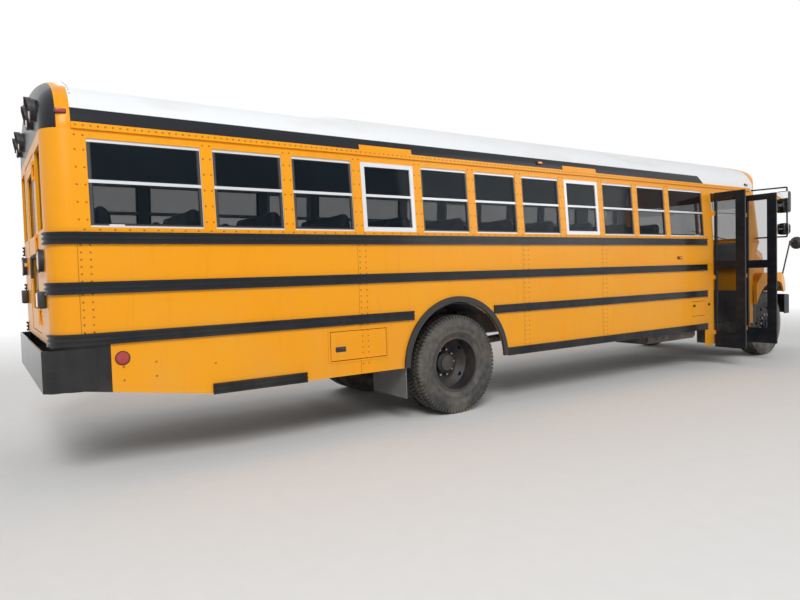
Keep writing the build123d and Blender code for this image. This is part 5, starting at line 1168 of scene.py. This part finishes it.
# Camera at the photo's view
lens = {"place": (-6.0402, -6.4066, 1.5215), "yaw": 55.9687, "pitch": -2.39407, "roll": -1.67307,
        "focal": 28.4136, "sensor": 36.0, "farEnd": 200.0}
camera = bpy.data.objects.new("camera", bpy.data.cameras.new("camera"))
bpy.context.scene.collection.objects.link(camera)
camera.data.lens = lens["focal"]
camera.data.sensor_width = lens["sensor"]
camera.data.clip_end = lens["farEnd"]
camera.matrix_world = (Matrix.Translation(lens["place"])
                       @ Matrix.Rotation(radians(lens["yaw"] - 90.0), 4, "Z")
                       @ Matrix.Rotation(radians(90.0 + lens["pitch"]), 4, "X")
                       @ Matrix.Rotation(radians(lens["roll"]), 4, "Z"))
bpy.context.scene.camera = camera

# Pale floor that keeps the shadow near the bus and fades to white further out
studio = {"floorSize": 240.0, "floorColour": (0.74, 0.74, 0.735), "floorPale": 1.06, "world": 0.40,
          "fadeStart": 8.0, "fadeEnd": 17.0}
floorMesh = bmesh.new()
bmesh.ops.create_grid(floorMesh, x_segments=1, y_segments=1, size=studio["floorSize"] / 2)
floorData = bpy.data.meshes.new("studio_floor")
floorMesh.to_mesh(floorData)
floorMesh.free()
studioFloor = bpy.data.objects.new("studio_floor", floorData)
bpy.context.scene.collection.objects.link(studioFloor)
f = Finish("studio_floor", studio["floorColour"], 0.9)
floorData.materials.append(f.material)
pale = tuple(c * studio["floorPale"] for c in studio["floorColour"])
f.put(f.shader, {"Base Color": f.mix(f.noise(7.0, 4.0), f.colour, pale)})
reach = f.node("ShaderNodeVectorMath", {"operation": "LENGTH"}, {"Vector": f.place}, "Value")
white = f.node("ShaderNodeEmission", {}, {"Color": (1.0, 1.0, 1.0, 1.0), "Strength": 1.0})
away = reach.rising(studio["fadeStart"], studio["fadeEnd"]) * f.seenRays()
# inputs 1 and 2 of a Mix Shader are its two shaders
faded = f.node("ShaderNodeMixShader", {}, {0: away, 1: Value(f, f.shader.outputs["BSDF"]), 2: white})
f.put(f.nodes["Material Output"], {"Surface": faded})

world = bpy.data.worlds.new("studio")
bpy.context.scene.world = world
world.use_nodes = True
sky = Nodes(world.node_tree)
sky.put(sky.nodes["Background"], {"Color": (1.0, 1.0, 1.0, 1.0),
                                  "Strength": sky.seenRays() * (1.0 - studio["world"]) + studio["world"]})

lamps = {
    "key": {"place": (-9.0, -12.0, 11.0), "aim": (-0.5, 0.0, 1.3), "size": 6.0, "power": 1550.0},
    "fill": {"place": (10.0, -12.0, 6.0), "aim": (2.0, 0.0, 1.2), "size": 8.0, "power": 480.0},
    "far": {"place": (0.0, 14.0, 8.0), "aim": (0.0, 0.0, 1.2), "size": 9.0, "power": 700.0},
}
for name, row in lamps.items():
    data = bpy.data.lights.new(name, "AREA")
    data.size = row["size"]
    data.energy = row["power"]
    lamp = bpy.data.objects.new(name, data)
    bpy.context.scene.collection.objects.link(lamp)
    lamp.location = row["place"]
    lamp.rotation_euler = (Vector(row["aim"]) - Vector(row["place"])).to_track_quat("-Z", "Y").to_euler()
bpy.context.scene.view_settings.view_transform = "Standard"
print("stage: camera and lights set")
